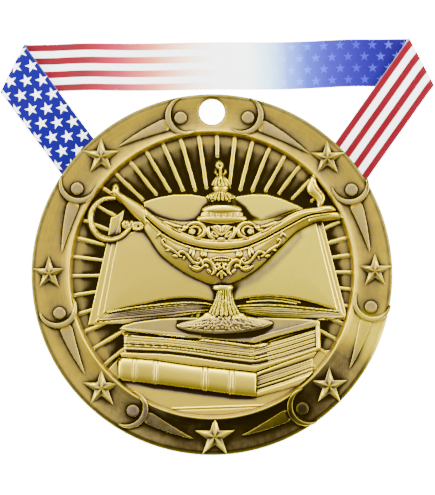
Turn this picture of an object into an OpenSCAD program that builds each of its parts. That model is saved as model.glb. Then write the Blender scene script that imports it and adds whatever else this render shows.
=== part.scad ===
// A cast medal with a lamp of learning in relief, lying on its folded neck ribbon.
// Millimetres, +Z up. The medal faces up, and +Y runs from its centre to the hanging hole.
// The origin is the middle of the footprint, on the surface that the ribbon lies on.

/* [Medal] */
// Outside diameter of the medal
medal_d = 76.2; // [70:0.1:90]
// Thickness of the medal at its border
medal_t = 4; // [3.6:0.1:6]
// Width of the plain border outside the ridge
border_w = 7.5; // [7:0.1:8.5]
// Chamfer on the medal's outer corners
edge_chamfer = 0.4; // [0.2:0.05:0.8]
// Width of the ridge ring round the field
ridge_w = 1; // [0.7:0.1:1.5]
// Height of the ridge ring above the border
ridge_h = 0.35; // [0.2:0.05:0.6]
// Depth of the field below the border
field_drop = 0.9; // [0.5:0.1:1.2]
// Metal left between the field and the recess in the back
web_t = 1.1; // [0.9:0.1:1.5]
// Width of the rim round the recess in the back
back_rim_w = 8.1; // [8:0.1:9.5]

/* [Hanging hole] */
// Diameter of the hanging hole
hole_d = 5.4; // [4:0.1:5.6]
// Metal left between the hanging hole and the medal's edge
hole_edge = 1.05; // [0.8:0.05:1.4]

/* [Border stars] */
// Radius of a star to its points
star_r = 4; // [2.8:0.1:4.2]
// Height of a star's middle above the border
star_h = 0.8; // [0.4:0.1:1.2]
// Radius of a star's notches
star_notch_r = 1.5; // [1:0.1:1.7]
// Height of the step at a star's outline
star_step = 0.1; // [0.05:0.05:0.2]

/* [Border figures] */
// Radius of a figure's head
head_r = 1.25; // [1:0.05:1.5]
// Outside radius of a figure's raised arms
arm_r = 4; // [3:0.1:4.2]
// Width of the arms where they meet
arm_w = 1.05; // [0.8:0.05:1.3]
// Width of a figure's shoulders
shoulder_w = 2.9; // [2.2:0.1:3.4]
// Height of a figure above the border
figure_h = 0.5; // [0.3:0.1:0.8]

/* [Rays] */
// Width of a ray
ray_w = 0.8; // [0.5:0.05:1.2]
// Height of a ray above the field
ray_h = 0.4; // [0.2:0.05:0.45]
// Length of a ray from the ridge inwards
ray_len = 10.5; // [6:0.5:12]

/* [Books] */
// Height of the open book's cover above the field
open_cover_h = 0.5; // [0.5:0.05:0.6]
// Height of the open book's pages above the field
page_h = 0.9; // [0.8:0.1:1.1]
// Height of the closed books' page edges above the field
block_h = 1.05; // [0.9:0.05:1.2]
// Height of the closed books' covers above the field
cover_h = 1.3; // [1.3:0.1:1.6]
// Height of the lower book's spine above the field
spine_h = 1.6; // [1.4:0.1:1.8]
// Width of the raised bands on the spine
band_w = 0.8; // [0.5:0.1:1.2]
// Height of the raised bands above the spine
band_h = 0.15; // [0.05:0.05:0.3]
// Height of the ground under the books above the field
ground_h = 0.3; // [0.2:0.1:0.5]

/* [Lamp] */
// Length of the lamp from its handle to its spout
lamp_len = 54; // [48:0.5:55]
// Height of the lamp from its foot to its finial
lamp_tall = 36.3; // [32:0.1:37]
// Rise of the lamp's bowl above the field
lamp_h = 2.3; // [1.8:0.1:2.6]
// Half the width of the handle ring's wire
wire_r = 0.65; // [0.4:0.05:0.8]

/* [Ribbon] */
// Width of the ribbon
ribbon_w = 10; // [8:0.5:10]
// Thickness of the ribbon
ribbon_t = 1; // [1:0.1:1.2]
// Gap held open inside a fold
fold_gap = 0.3; // [0.2:0.1:0.6]

/* [Ribbon stud] */
// Diameter of the stud's flat head
stud_head_d = 9; // [7:0.5:10]
// Thickness of the stud's flat head
stud_head_t = 0.8; // [0.6:0.1:1]
// Diameter of the stud's post
stud_post_d = 3; // [2:0.1:3.5]
// Depth of the stud's socket in the back of the medal
socket_depth = 1.2; // [0.8:0.1:1.4]

/* [Hidden] */
$fn = 96;

// Clearances: between pieces that lie on each other, round the post, and past a cut
lay_gap = 0.1;
post_gap = 0.1;
past = 1;
// How deep relief is sunk into the metal under it
sink = 0.35;
// Dip of the border between the ridge and the medal's edge
border_dip = 0.2;

medal_r = medal_d / 2;
ridge_r = medal_r - border_w;
field_r = ridge_r - ridge_w;
border_mid_r = medal_r - border_w / 2;
back_recess_r = medal_r - back_rim_w;

// Heights from the surface that the ribbon lies on
back_z = ribbon_t + lay_gap;
border_z = back_z + medal_t;
field_z = border_z - field_drop;
recess_z = field_z - web_t;
hole_y = medal_r - hole_edge - hole_d / 2;

// Ribbon route on the surface, from the medal's centre: two folds and the sewn point
corner_left = [-42.2, 43.6];
corner_right = [44.3, 45];
sewn_point = [1.5, -15.5];
// Stretches of a strap. From the sewn point it lies level up to the first distance and is
// down on the surface by the second. From a fold it does the same.
tail = 5;
sewn_run = [8, 32];
fold_run = [10.2, 20.5];
stitch = [5, 0.8];

function unit(v) = v / norm(v);
function across(v) = [-v[1], v[0]];
function blend(a, b, t) = a + (b - a) * t;
function ease(t) = t <= 0 ? 0 : t >= 1 ? 1 : t * t * (3 - 2 * t);
function flipped(list) = [for (i = [len(list) - 1 : -1 : 0]) list[i]];
// A smooth curve through hand-chosen points, with steps points to a stretch
function curve_at(a, b, c, d, t) =
    0.5 * (2 * b + (c - a) * t + (2 * a - 5 * b + 4 * c - d) * t * t
        + (3 * b - a - 3 * c + d) * t * t * t);
function smooth(p, steps) = let (n = len(p)) concat(
    [for (i = [0 : n - 2], k = [0 : steps - 1])
        curve_at(p[max(i - 1, 0)], p[i], p[i + 1], p[min(i + 2, n - 1)], k / steps)],
    [p[n - 1]]);

// A solid skin over rings of points, closed at both ends. The rings turn the same way.
module skin(rings) {
    n = len(rings);
    m = len(rings[0]);
    sides = [for (i = [0 : n - 2], k = [0 : m - 1]) let (
        a = i * m + k, b = i * m + (k + 1) % m, c = a + m, d = b + m)
        each [[a, b, d], [a, d, c]]];
    ends = [[for (k = [0 : m - 1]) m - 1 - k], [for (k = [0 : m - 1]) (n - 1) * m + k]];
    polyhedron([for (r = rings) each r], concat(sides, ends), convexity = 8);
}

// A raised form with half-oval sections. A row is [middle, half the width as a vector, height].
module raised(rows, facets, foot = sink) skin([for (r = rows) concat(
    [for (k = [0 : facets]) let (a = 180 * k / facets)
        [r[0][0] + r[1][0] * cos(a), r[0][1] + r[1][1] * cos(a), r[2] * sin(a)]],
    [[r[0][0] - r[1][0], r[0][1] - r[1][1], -foot],
        [r[0][0] + r[1][0], r[0][1] + r[1][1], -foot]])]);

// Disc
module disc() rotate_extrude() polygon([
    [0, recess_z],
    [back_recess_r - 0.5, recess_z],
    [back_recess_r, recess_z - 0.5],
    [back_recess_r, back_z],
    [medal_r - edge_chamfer, back_z],
    [medal_r, back_z + edge_chamfer],
    [medal_r, border_z - edge_chamfer],
    [medal_r - edge_chamfer, border_z],
    [border_mid_r + border_w * 0.25, border_z - border_dip * 0.75],
    [border_mid_r, border_z - border_dip],
    [border_mid_r - border_w * 0.25, border_z - border_dip * 0.75],
    [ridge_r, border_z],
    [ridge_r - ridge_w * 0.25, border_z + ridge_h],
    [ridge_r - ridge_w * 0.6, border_z + ridge_h],
    [field_r + ridge_w * 0.1, border_z - field_drop * 0.5],
    [field_r, field_z],
    [0, field_z]]);

// Border
// A row of the stars is [turn, distance in hundredths of the border's middle, size in hundredths]
star_rows = [[134.4, 98, 100], [180, 100, 87], [225.7, 98, 98], [271.1, 100, 107],
    [316.2, 100, 96], [1.1, 100, 87], [44.9, 100, 95]];
module star(size) {
    outline = [for (k = [0 : 9]) let (a = 90 + 36 * k, r = size * (k % 2 == 0 ? star_r : star_notch_r))
        [r * cos(a), r * sin(a)]];
    points = concat([for (p = outline) [p[0], p[1], star_step]],
        [for (p = outline) [p[0], p[1], -sink - border_dip]], [[0, 0, star_h]]);
    polyhedron(points, concat(
        [for (k = [0 : 9]) [20, (k + 1) % 10, k]],
        [for (k = [0 : 9]) each [[k, (k + 1) % 10, 10 + (k + 1) % 10], [k, 10 + (k + 1) % 10, 10 + k]]],
        [[for (k = [0 : 9]) 10 + k]]), convexity = 4);
}
module border_stars() for (s = star_rows) let (r = border_mid_r * s[1] / 100)
    translate([r * cos(s[0]), r * sin(s[0]), border_z]) star(s[2] / 100);

// A row of the figures is [turn and distance of the head, turn and distance of the foot's point],
// with distances in hundredths of the border's middle
figure_rows = [
    [101.3, 98.2, 126.2, 97.4], [147.4, 98.2, 171.9, 93.1], [194.2, 96.5, 218.2, 99.1],
    [239.9, 96.6, 263.6, 101.4], [77, 99, 51.3, 95.4], [31.3, 100.3, 8.1, 98],
    [-11.5, 99.7, -34.4, 102.3], [-55.9, 99.2, -79.6, 100.5]];
arm_drop = 1.1;
module figure_shape(length) {
    top = arm_drop - arm_r - arm_w;
    circle(r = head_r, $fn = 32);
    polygon(concat(
        [for (k = [0 : 16]) let (a = -192 + 204 * k / 16, r = arm_r + arm_w / 2 * sin(180 * k / 16))
            [r * cos(a), arm_drop + r * sin(a)]],
        [for (k = [15 : -1 : 1]) let (a = -192 + 204 * k / 16, r = arm_r - arm_w / 2 * sin(180 * k / 16))
            [r * cos(a), arm_drop + r * sin(a)]]));
    polygon([[-shoulder_w / 2, top], [-shoulder_w * 0.33, top - 4.5], [0, -length],
        [shoulder_w * 0.33, top - 4.5], [shoulder_w / 2, top]]);
}
function border_point(turn, share) = border_mid_r * share / 100 * [cos(turn), sin(turn)];
module border_figures() for (f = figure_rows) {
    head = border_point(f[0], f[1]);
    foot = border_point(f[2], f[3]);
    up = head - foot;
    translate([head[0], head[1], border_z - border_dip - sink]) rotate(atan2(up[1], up[0]) - 90)
        linear_extrude(height = figure_h + border_dip + sink) figure_shape(norm(up));
}
module border_relief() color("gold") intersection() {
    union() {
        border_stars();
        border_figures();
    }
    translate([0, 0, recess_z]) cylinder(r = medal_r - edge_chamfer, h = medal_t);
}

// Field. The outlines in it are drawn in hundredths of the field's radius.
function drawn(points) = points * field_r / 100;
ray_count = 48;
ray_turn = 90.8;
// The rays meet on the lamp's axis, beside the field's middle
ray_hub = [field_r * 0.051, field_r * 0.005];
module rays() color("gold") translate([0, 0, field_z - sink]) linear_extrude(height = ray_h + sink)
    intersection() {
        circle(r = field_r + 0.3);
        translate(ray_hub) for (k = [-19 : 18]) rotate(ray_turn + 360 / ray_count * k)
            translate([field_r - ray_len, -ray_w / 2]) square([ray_len + 3, ray_w]);
    }

open_cover = [
    [-71.2, 41.3], [-74.9, 22.6], [-88.1, -35.7], [-79.7, -35.5], [-56.1, -33.7], [-26.6, -30.1],
    [-5.9, -26.6], [15.7, -26.6], [43.3, -32.1], [59.7, -32.4], [80.1, -32.4], [95.8, -31.8],
    [95.1, -25.9], [79.4, 35.7], [75.6, 48.9], [62.8, 51.1], [-51.2, 49.6], [-62.6, 45.4]];
left_page = [
    [-62.6, 45.4], [-49.8, 50.9], [-37.1, 54.7], [-27.6, 56.8], [-14.9, 56.8], [-5.3, 55.3],
    [1.5, 51.1], [3.6, 24.7], [0.8, -18.3], [-8.8, -16.5], [-20.7, -16], [-32.5, -17.1],
    [-44.2, -19.5], [-56.1, -22.4], [-67.9, -25.4], [-79, -28.7], [-71.2, 9], [-66.9, 27.6]];
right_page = [
    [10, 51.1], [18.6, 55.6], [29.1, 57], [39.4, 56.6], [49.6, 53.9], [61.9, 48.8], [72.7, 43.2],
    [78.4, 21.2], [89, -24.6], [73.3, -20.9], [59.7, -16.7], [49.4, -15], [37.9, -14.4],
    [25.6, -15.4], [14.3, -18], [11.5, 24.7]];
left_leaves = [
    [-79, -29], [-67.9, -26.6], [-62, -25.6], [-44.2, -22], [-26.6, -20.3], [-8.8, -20.3],
    [0.8, -20.9], [0.8, -24.8], [-5.9, -25.4], [-20.7, -26], [-38.4, -28.8], [-56.1, -31],
    [-76.9, -32.4]];
right_leaves = [
    [12.9, -22.3], [32.4, -22.3], [46, -23], [59.7, -23.7], [73.3, -24.8], [89, -26.4],
    [94.8, -28.3], [94.1, -30.6], [80.1, -30.8], [59.7, -30.8], [43.3, -30.6], [27.1, -27.6],
    [12.9, -25.5]];
upper_block = [
    [-64.2, -39.5], [30, -40], [76.2, -35], [76.9, -52.6], [31.1, -68], [-7.8, -62], [-62.8, -56]];
upper_cover = [
    [-64.9, -38.7], [-54.8, -36.5], [-37, -33.7], [-22.7, -33], [40, -32.3], [62.8, -33],
    [76.2, -33.4], [76.2, -37.1], [30, -52.1], [-1.4, -48.9], [-31.1, -42.8], [-64.7, -39.7]];
upper_cover_end = [[74.3, -36], [76.5, -33.6], [76.9, -52.6], [74.3, -51.5]];
lower_cover = [
    [-64.2, -54.3], [-34.8, -56.9], [-1.4, -60], [30.4, -65.5], [74.4, -51.2], [76.9, -52.6],
    [74.4, -55.1], [31.1, -69.2], [12.9, -66.9], [-7.8, -64.7], [-34.2, -61.7], [-64.2, -58.6]];
lower_block = [[29, -68], [71.8, -56.3], [72.4, -69.2], [65.5, -78.1], [31.4, -87.6], [29, -87]];
ground = [
    [-76, -75.7], [-60, -70], [70, -55], [77, -53], [90, -60], [90, -105], [-76, -105]];
// A row of the spine is [middle along, middle up, half the width, height in hundredths]
spine_rows = [
    [-65.8, -66.4, 6.6, 70], [-64.5, -66.8, 7.6, 88], [-60, -67.3, 8, 96], [-30, -71.2, 8.3, 100],
    [0, -74.8, 8.5, 100], [31.2, -78.7, 8.8, 100]];
band_rows = [[-54.1, -68.1, 8], [-40.5, -69.9, 8.2], [-4.9, -74.2, 8.5], [13.6, -76.5, 8.6]];

module slab(points, h, foot = sink) translate([0, 0, field_z - foot])
    linear_extrude(height = h + foot) polygon(drawn(points));
module open_book() color("khaki") {
    slab(open_cover, open_cover_h);
    slab(left_page, page_h);
    slab(right_page, page_h);
    slab(left_leaves, blend(open_cover_h, page_h, 0.5));
    slab(right_leaves, blend(open_cover_h, page_h, 0.5));
}
module spine_form(rows, rise = 0) translate([0, 0, field_z])
    raised([for (r = rows) [drawn([r[0], r[1]]), drawn([0, -r[2]]), r[3] * spine_h / 100 + rise]], 8);
module closed_books() color("tan") {
    slab(upper_block, block_h);
    slab(upper_cover, cover_h);
    slab(upper_cover_end, cover_h);
    slab(lower_cover, cover_h);
    slab(lower_block, block_h);
    spine_form(spine_rows);
    for (b = band_rows) let (half = band_w / 2 / field_r * 100)
        spine_form([[b[0] - half, b[1], b[2], 100], [b[0] + half, b[1], b[2], 100]], band_h);
}
module ground_form() color("darkkhaki") translate([0, 0, field_z - sink])
    linear_extrude(height = ground_h + sink) intersection() {
        polygon(drawn(ground));
        circle(r = field_r + 0.3);
    }

// Lamp, drawn in hundredths of its length along and of its height up from its foot.
// A row of these tables is [along, low edge, high edge, height in hundredths].
lamp_at = drawn([5.8, -42]);
bowl_rows = [
    [-30, 65, 73, 42], [-27.2, 53, 69.5, 65],
    [-18.5, 38.5, 62, 88], [-9, 30.5, 55.5, 98], [0.5, 28, 53, 100], [9, 31, 54.5, 98],
    [18, 42, 60.5, 85], [25.5, 53.5, 66, 65], [33, 64, 71.5, 50], [41, 66.2, 74, 42],
    [48.2, 66, 68.5, 15]];
rim_rows = [
    [-29, 69, 72.5, 60], [-24, 60, 67, 80], [-17, 53.5, 60.5, 98], [-9, 49.8, 56, 108],
    [0, 49.2, 54, 112], [9, 50.5, 55.5, 110], [17, 55, 61, 100], [25, 61, 67, 82],
    [32, 66.3, 71.5, 66], [39, 70, 74, 54], [45, 70, 72.5, 40]];
thumb_rows = [
    [-41, 82, 86, 30], [-39.5, 79, 86, 42], [-37, 76, 82.6, 48], [-33, 71.5, 77, 52],
    [-29.5, 67.5, 72.8, 55], [-27.5, 66, 70, 50]];
neck_rows = [[61.5, -8.5, 10, 98], [67, -10, 11.5, 96], [68.6, -9, 10.5, 92], [71.5, -8.4, 9.8, 90],
    [74, -7, 8.2, 86], [75.2, -3.8, 4.8, 70], [77, -3.6, 4.6, 68], [78, -6, 6.6, 74],
    [81.2, -6, 6.6, 70], [82.2, -3, 3.2, 60], [84.8, -2.4, 3.2, 58], [85.6, -3.6, 4.4, 64],
    [87.5, -3.2, 4, 60], [92.4, -1.1, 1.3, 46], [94, -1.2, 1.4, 42], [95.5, -1.8, 2.2, 46],
    [98, -1.8, 2.2, 46], [100, -0.6, 0.8, 30]];
foot_rows = [
    [0, -4, 7, 34], [1.5, -11, 13, 52], [3.4, -16.3, 20.6, 56], [5.5, -15.4, 20, 56],
    [8, -10, 17.5, 56], [10.5, -5.2, 10, 60], [12, -4.2, 7.9, 64], [17, -2.6, 5.8, 62],
    [23.6, -1.4, 4.5, 60], [24.6, -2.8, 4.9, 70], [27, -2.8, 4.9, 70], [28, -1.4, 4, 64],
    [33, -1.4, 4, 64]];
flame_rows = [
    [72.6, 37.5, 39, 30], [77, 36.7, 40.2, 36], [81.4, 35.2, 40.9, 40], [84, 34.2, 39.6, 42],
    [88, 35.4, 38, 34], [92.5, 36.4, 36.8, 16]];
// Handle: middle, half width and half height of its oval, then the turns where it starts and ends
ring_at = [-43, 66.6];
ring_half = [7.9, 11.8];
ring_turn = [66, 352];
// Scrolls: a row is [along, up, radius in hundredths of the length, first turn, way round]
scroll_rows = [
    [-37, 63.3, 1.5, 200, 1], [-32.2, 62.5, 2.2, 160, -1], [-10.2, 60, 2.9, 180, -1],
    [10.6, 60.4, 2.9, 0, 1]];

function lamp(x, y) = [x * lamp_len, y * lamp_tall] / 100;
function lengthwise(rows) = [for (r = smooth(rows, 2))
    [lamp(r[0], (r[1] + r[2]) / 2), lamp(0, (r[1] - r[2]) / 2), r[3] * lamp_h / 100]];
function upright(rows) = [for (r = rows)
    [lamp((r[1] + r[2]) / 2, r[0]), lamp((r[2] - r[1]) / 2, 0), r[3] * lamp_h / 100]];
function ring_wire(steps = 24) = [for (k = [0 : steps]) let (a = blend(ring_turn[0], ring_turn[1], k / steps))
    [lamp(ring_at[0] + ring_half[0] * cos(a), ring_at[1] + ring_half[1] * sin(a)),
        wire_r * [cos(a), sin(a)], 0.5 * lamp_h]];
function scroll_wire(s, turn = 360, steps = 10) = [for (k = [0 : steps]) let (
    a = s[3] + s[4] * turn * k / steps, out = [cos(a), sin(a)],
    r = s[2] * lamp_len / 100 * (1 - 0.7 * k / steps))
    [lamp(s[0], s[1]) + r * out, s[4] * wire_r * (0.7 - 0.3 * k / steps) * out, 0.85 * lamp_h]];

module lamp_relief() color("goldenrod") translate([lamp_at[0], lamp_at[1], field_z])
    resize([lamp_len, lamp_tall, 0]) union() {
        raised(lengthwise(bowl_rows), 8);
        raised(lengthwise(rim_rows), 5);
        raised(lengthwise(thumb_rows), 5);
        raised(upright(neck_rows), 7);
        raised(upright(foot_rows), 7);
        raised(upright(flame_rows), 5);
        raised(ring_wire(), 5);
        for (s = scroll_rows) raised(scroll_wire(s), 3);
    }

module medal() translate(centre_shift) difference() {
    union() {
        color("goldenrod") disc();
        border_relief();
        rays();
        ground_form();
        open_book();
        closed_books();
        lamp_relief();
    }
    translate([0, hole_y, -past]) cylinder(d = hole_d, h = border_z + 2 * past);
    translate([sewn_point[0], sewn_point[1], recess_z - past])
        cylinder(d = stud_post_d + 2 * post_gap, h = past + socket_depth);
}

// Ribbon. The band is a list of lines across it, each [edge, other edge, side that faces out].
low_z = ribbon_t / 2;
high_z = ribbon_t * 1.5 + fold_gap;
first_z = stud_head_t + lay_gap + ribbon_t / 2;
second_z = first_z + ribbon_t + lay_gap;
fold_r = (high_z - low_z) / 2;
fold_steps = 8;
run_steps = 6;

function at_z(p, z) = [p[0], p[1], z];
// A line square across a strap that faces up or down
function square_line(p, way, z, up) = let (half = across(way) * ribbon_w / 2)
    [at_z(p + half, z), at_z(p - half, z), [0, 0, up]];
// The lines of a strap along its way, from one height to another between two distances
function strap_lines(p, way, span, from_z, to_z) = [for (k = [0 : run_steps]) let (t = k / run_steps)
    square_line(p + way * blend(span[0], span[1], t), way, blend(from_z, to_z, ease(t)), 1)];
// The lines round a fold at a corner, where the band comes in one way and leaves another
function fold_lines(corner, way, leave, from_z, to_z) = let (
    axis = unit(way + leave), out = unit(way - leave), slant = way * out,
    s = from_z > to_z ? 1 : -1, side = across(way) * axis > 0 ? s : -s,
    back = PI * fold_r / 2, half = side * axis * ribbon_w / 2 / slant)
    [for (k = [0 : fold_steps]) let (
        a = 180 * k / fold_steps, arc = fold_r * a * PI / 180 - back,
        p = corner + axis * (way * axis) * arc / slant + out * (fold_r * sin(a) - back),
        z = (from_z + to_z) / 2 + s * fold_r * cos(a))
        [at_z(p + half, z), at_z(p - half, z), [out[0] * sin(a), out[1] * sin(a), s * cos(a)]]];

way_left = unit(corner_left - sewn_point);
way_run = unit(corner_right - corner_left);
way_right = unit(sewn_point - corner_right);
left_len = norm(corner_left - sewn_point);
right_len = norm(corner_right - sewn_point);
band = concat(
    [square_line(sewn_point - way_left * tail, way_left, first_z, 1)],
    strap_lines(sewn_point, way_left, sewn_run, first_z, low_z),
    strap_lines(corner_left, way_left, [-fold_run[1], -fold_run[0]], low_z, high_z),
    fold_lines(corner_left, way_left, way_run, high_z, low_z),
    fold_lines(corner_right, way_run, way_right, low_z, high_z),
    strap_lines(corner_right, way_right, fold_run, high_z, low_z),
    strap_lines(sewn_point, way_right, [-sewn_run[1], -sewn_run[0]], low_z, second_z),
    [square_line(sewn_point + way_right * tail, way_right, second_z, 1)]);

band_rings = [for (l = band) let (n = l[2] * ribbon_t / 2) [l[1] - n, l[1] + n, l[0] + n, l[0] - n]];

// Shift that brings the footprint's middle to the origin
band_x = [for (ring = band_rings, p = ring) p[0]];
band_y = [for (ring = band_rings, p = ring) p[1]];
centre_shift = [
    -(min(min(band_x), -medal_r) + max(max(band_x), medal_r)) / 2,
    -(min(min(band_y), -medal_r) + max(max(band_y), medal_r)) / 2, 0];

module neck_ribbon() color("royalblue") translate(centre_shift) difference() {
    union() {
        skin(band_rings);
        for (side = [-1, 1]) translate([sewn_point[0] - stitch[0] / 2,
            sewn_point[1] + side * stud_post_d * 0.9 - stitch[1] / 2, first_z])
            cube([stitch[0], stitch[1], second_z - first_z]);
    }
    translate([sewn_point[0], sewn_point[1], -past])
        cylinder(d = stud_post_d + 2 * post_gap, h = second_z + ribbon_t + 2 * past);
}

// Stud
module ribbon_stud() color("peru") translate(centre_shift) translate([sewn_point[0], sewn_point[1], 0])
    union() {
        cylinder(d = stud_head_d, h = stud_head_t);
        cylinder(d = stud_post_d, h = recess_z + socket_depth - lay_gap);
    }

medal();
neck_ribbon();
ribbon_stud();
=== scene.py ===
import math

import bmesh
import bpy
import numpy as np
from bpy.props import FloatProperty, FloatVectorProperty, IntProperty, PointerProperty
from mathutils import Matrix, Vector


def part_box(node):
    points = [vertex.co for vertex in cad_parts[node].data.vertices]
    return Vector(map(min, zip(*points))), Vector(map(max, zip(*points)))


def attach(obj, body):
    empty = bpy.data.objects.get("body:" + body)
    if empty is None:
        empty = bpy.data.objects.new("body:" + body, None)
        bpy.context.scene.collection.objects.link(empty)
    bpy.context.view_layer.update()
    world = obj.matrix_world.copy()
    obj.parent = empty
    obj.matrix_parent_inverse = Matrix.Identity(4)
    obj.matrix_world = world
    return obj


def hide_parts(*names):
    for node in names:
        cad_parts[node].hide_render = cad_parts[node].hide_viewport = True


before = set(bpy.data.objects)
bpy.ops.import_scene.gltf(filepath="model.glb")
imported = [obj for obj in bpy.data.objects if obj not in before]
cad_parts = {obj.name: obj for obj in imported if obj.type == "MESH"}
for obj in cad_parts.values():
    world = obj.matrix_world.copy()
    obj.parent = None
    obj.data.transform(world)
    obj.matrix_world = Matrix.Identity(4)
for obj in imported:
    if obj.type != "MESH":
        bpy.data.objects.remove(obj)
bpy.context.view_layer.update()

bl_info = {
    "name": "Academic medallion",
    "version": (1, 0, 0),
    "blender": (4, 5, 0),
    "location": "3D View > Sidebar > Medallion",
    "description": "Dresses the packed medal and its neck ribbon",
    "category": "Object",
}

# Lengths are in millimetres from the medal's middle, and heights from the surface it lies on
MM = 0.001
MEDAL_LOW, MEDAL_HIGH = (tuple(c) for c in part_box("medal"))
MIDDLE = ((MEDAL_LOW[0] + MEDAL_HIGH[0]) / 2, (MEDAL_LOW[1] + MEDAL_HIGH[1]) / 2)
MEDAL_R = (MEDAL_HIGH[0] - MEDAL_LOW[0]) / 2 / MM
BACK_Z = MEDAL_LOW[2] / MM
BORDER_Z = BACK_Z + 4.0
FIELD_Z = BORDER_Z - 0.9
RECESS_Z = FIELD_Z - 1.1
FIELD_R = 29.6
# The books and the lamp count up to this radius
RELIEF_R = 29.5
HOLE_Y = 34.35
HOLE_R = 2.7
# Drawings are laid out on a sheet where the medal is a circle of this radius at this place
SHEET_SIZE = (435, 495)
SHEET_R = 180.7
SHEET_MIDDLE = (211.9, 274.7)
SCALE = MEDAL_R / SHEET_R
# The lamp's middle line and the middle of its handle, on the sheet
LAMP_X = 221.4
HANDLE_MIDDLE = np.array([112.1, 218.7])
CURL_STEPS = 26
# Cell of the whole face's map, and the reach over which a map's bends are measured
FACE_PITCH = 0.1
BEND_REACH = 0.1
# How often a coarse triangle may be halved
LEVELS = 8
# A map's point counts as above a floor from this height on
ABOVE = 1e-4
# Points nearer than this many metres are one
SAME_POINT = 1e-6


def sized(points):
    """Points of a drawing in millimetres from the medal's middle."""
    p = np.asarray(points, float)
    out = p.copy()
    out[..., 0] = (p[..., 0] - SHEET_MIDDLE[0]) * SCALE
    out[..., 1] = (SHEET_MIDDLE[1] - p[..., 1]) * SCALE
    return out


def in_frame(points):
    """Millimetres from the medal's middle as places in the frame, in metres."""
    return (np.asarray(points, float) * MM + [*MIDDLE, 0]).tolist()


def curve_through(points, steps=6, closed=False):
    """A smooth line through given points. Further columns, such as widths, are smoothed too."""
    p = np.asarray(points, float)
    n = len(p)
    spans = n if closed else n - 1
    out = []
    for i in range(spans):
        if closed:
            a, b, c, d = (p[(i + k) % n] for k in (-1, 0, 1, 2))
        else:
            a, b, c, d = p[max(i - 1, 0)], p[i], p[i + 1], p[min(i + 2, n - 1)]
        for k in range(steps):
            t = k / steps
            out.append(0.5 * (2 * b + (c - a) * t + (2 * a - 5 * b + 4 * c - d) * t * t
                              + (3 * b - a - 3 * c + d) * t ** 3))
    if not closed:
        out.append(p[-1])
    return np.array(out)


def ease(t):
    t = np.clip(t, 0, 1)
    return t * t * (3 - 2 * t)


def outline_distance(X, Y, outline):
    """Distance to a closed outline, below zero inside it."""
    best = np.full(X.shape, 1e9, np.float32)
    inside = np.zeros(X.shape, bool)
    for (ax, ay), (bx, by) in zip(outline, np.roll(outline, -1, axis=0)):
        ex, ey = bx - ax, by - ay
        wx, wy = X - ax, Y - ay
        t = np.clip((wx * ex + wy * ey) / max(ex * ex + ey * ey, 1e-12), 0, 1)
        best = np.minimum(best, (wx - ex * t) ** 2 + (wy - ey * t) ** 2)
        if ay != by:
            inside ^= ((ay > Y) != (by > Y)) & (X < ax + wy * ex / ey)
    return np.where(inside, -1, 1) * np.sqrt(best)


def soft_area(X, Y, outline, soft):
    """One inside an outline of the sheet and zero outside, with a soft edge."""
    return ease(0.5 - outline_distance(X, Y, sized(outline)) / soft / 2)


def line_distance(X, Y, line, widths):
    """Distance to a line in shares of its half width there, and that half width."""
    best = np.full(X.shape, 1e9, np.float32)
    half = np.full(X.shape, 1.0, np.float32)
    for i in range(len(line) - 1):
        (ax, ay), (bx, by) = line[i], line[i + 1]
        ex, ey = bx - ax, by - ay
        wx, wy = X - ax, Y - ay
        t = np.clip((wx * ex + wy * ey) / max(ex * ex + ey * ey, 1e-12), 0, 1)
        w = widths[i] + (widths[i + 1] - widths[i]) * t
        d = np.sqrt((wx - ex * t) ** 2 + (wy - ey * t) ** 2) / np.maximum(w, 1e-3)
        near = d < best
        best = np.where(near, d, best)
        half = np.where(near, w, half)
    return best, half


def blurred(h, pitch, reach):
    """A height map averaged over about this reach."""
    n = max(1, int(round(reach / pitch)))
    out = h.astype(np.float64)
    for _ in range(3):
        for axis in (0, 1):
            pad = [(0, 0), (0, 0)]
            pad[axis] = (n + 1, n)
            run = np.cumsum(np.pad(out, pad, mode="edge"), axis=axis)
            if axis == 0:
                out = (run[2 * n + 1:, :] - run[:-2 * n - 1, :]) / (2 * n + 1)
            else:
                out = (run[:, 2 * n + 1:] - run[:, :-2 * n - 1]) / (2 * n + 1)
    return out.astype(np.float32)


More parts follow.
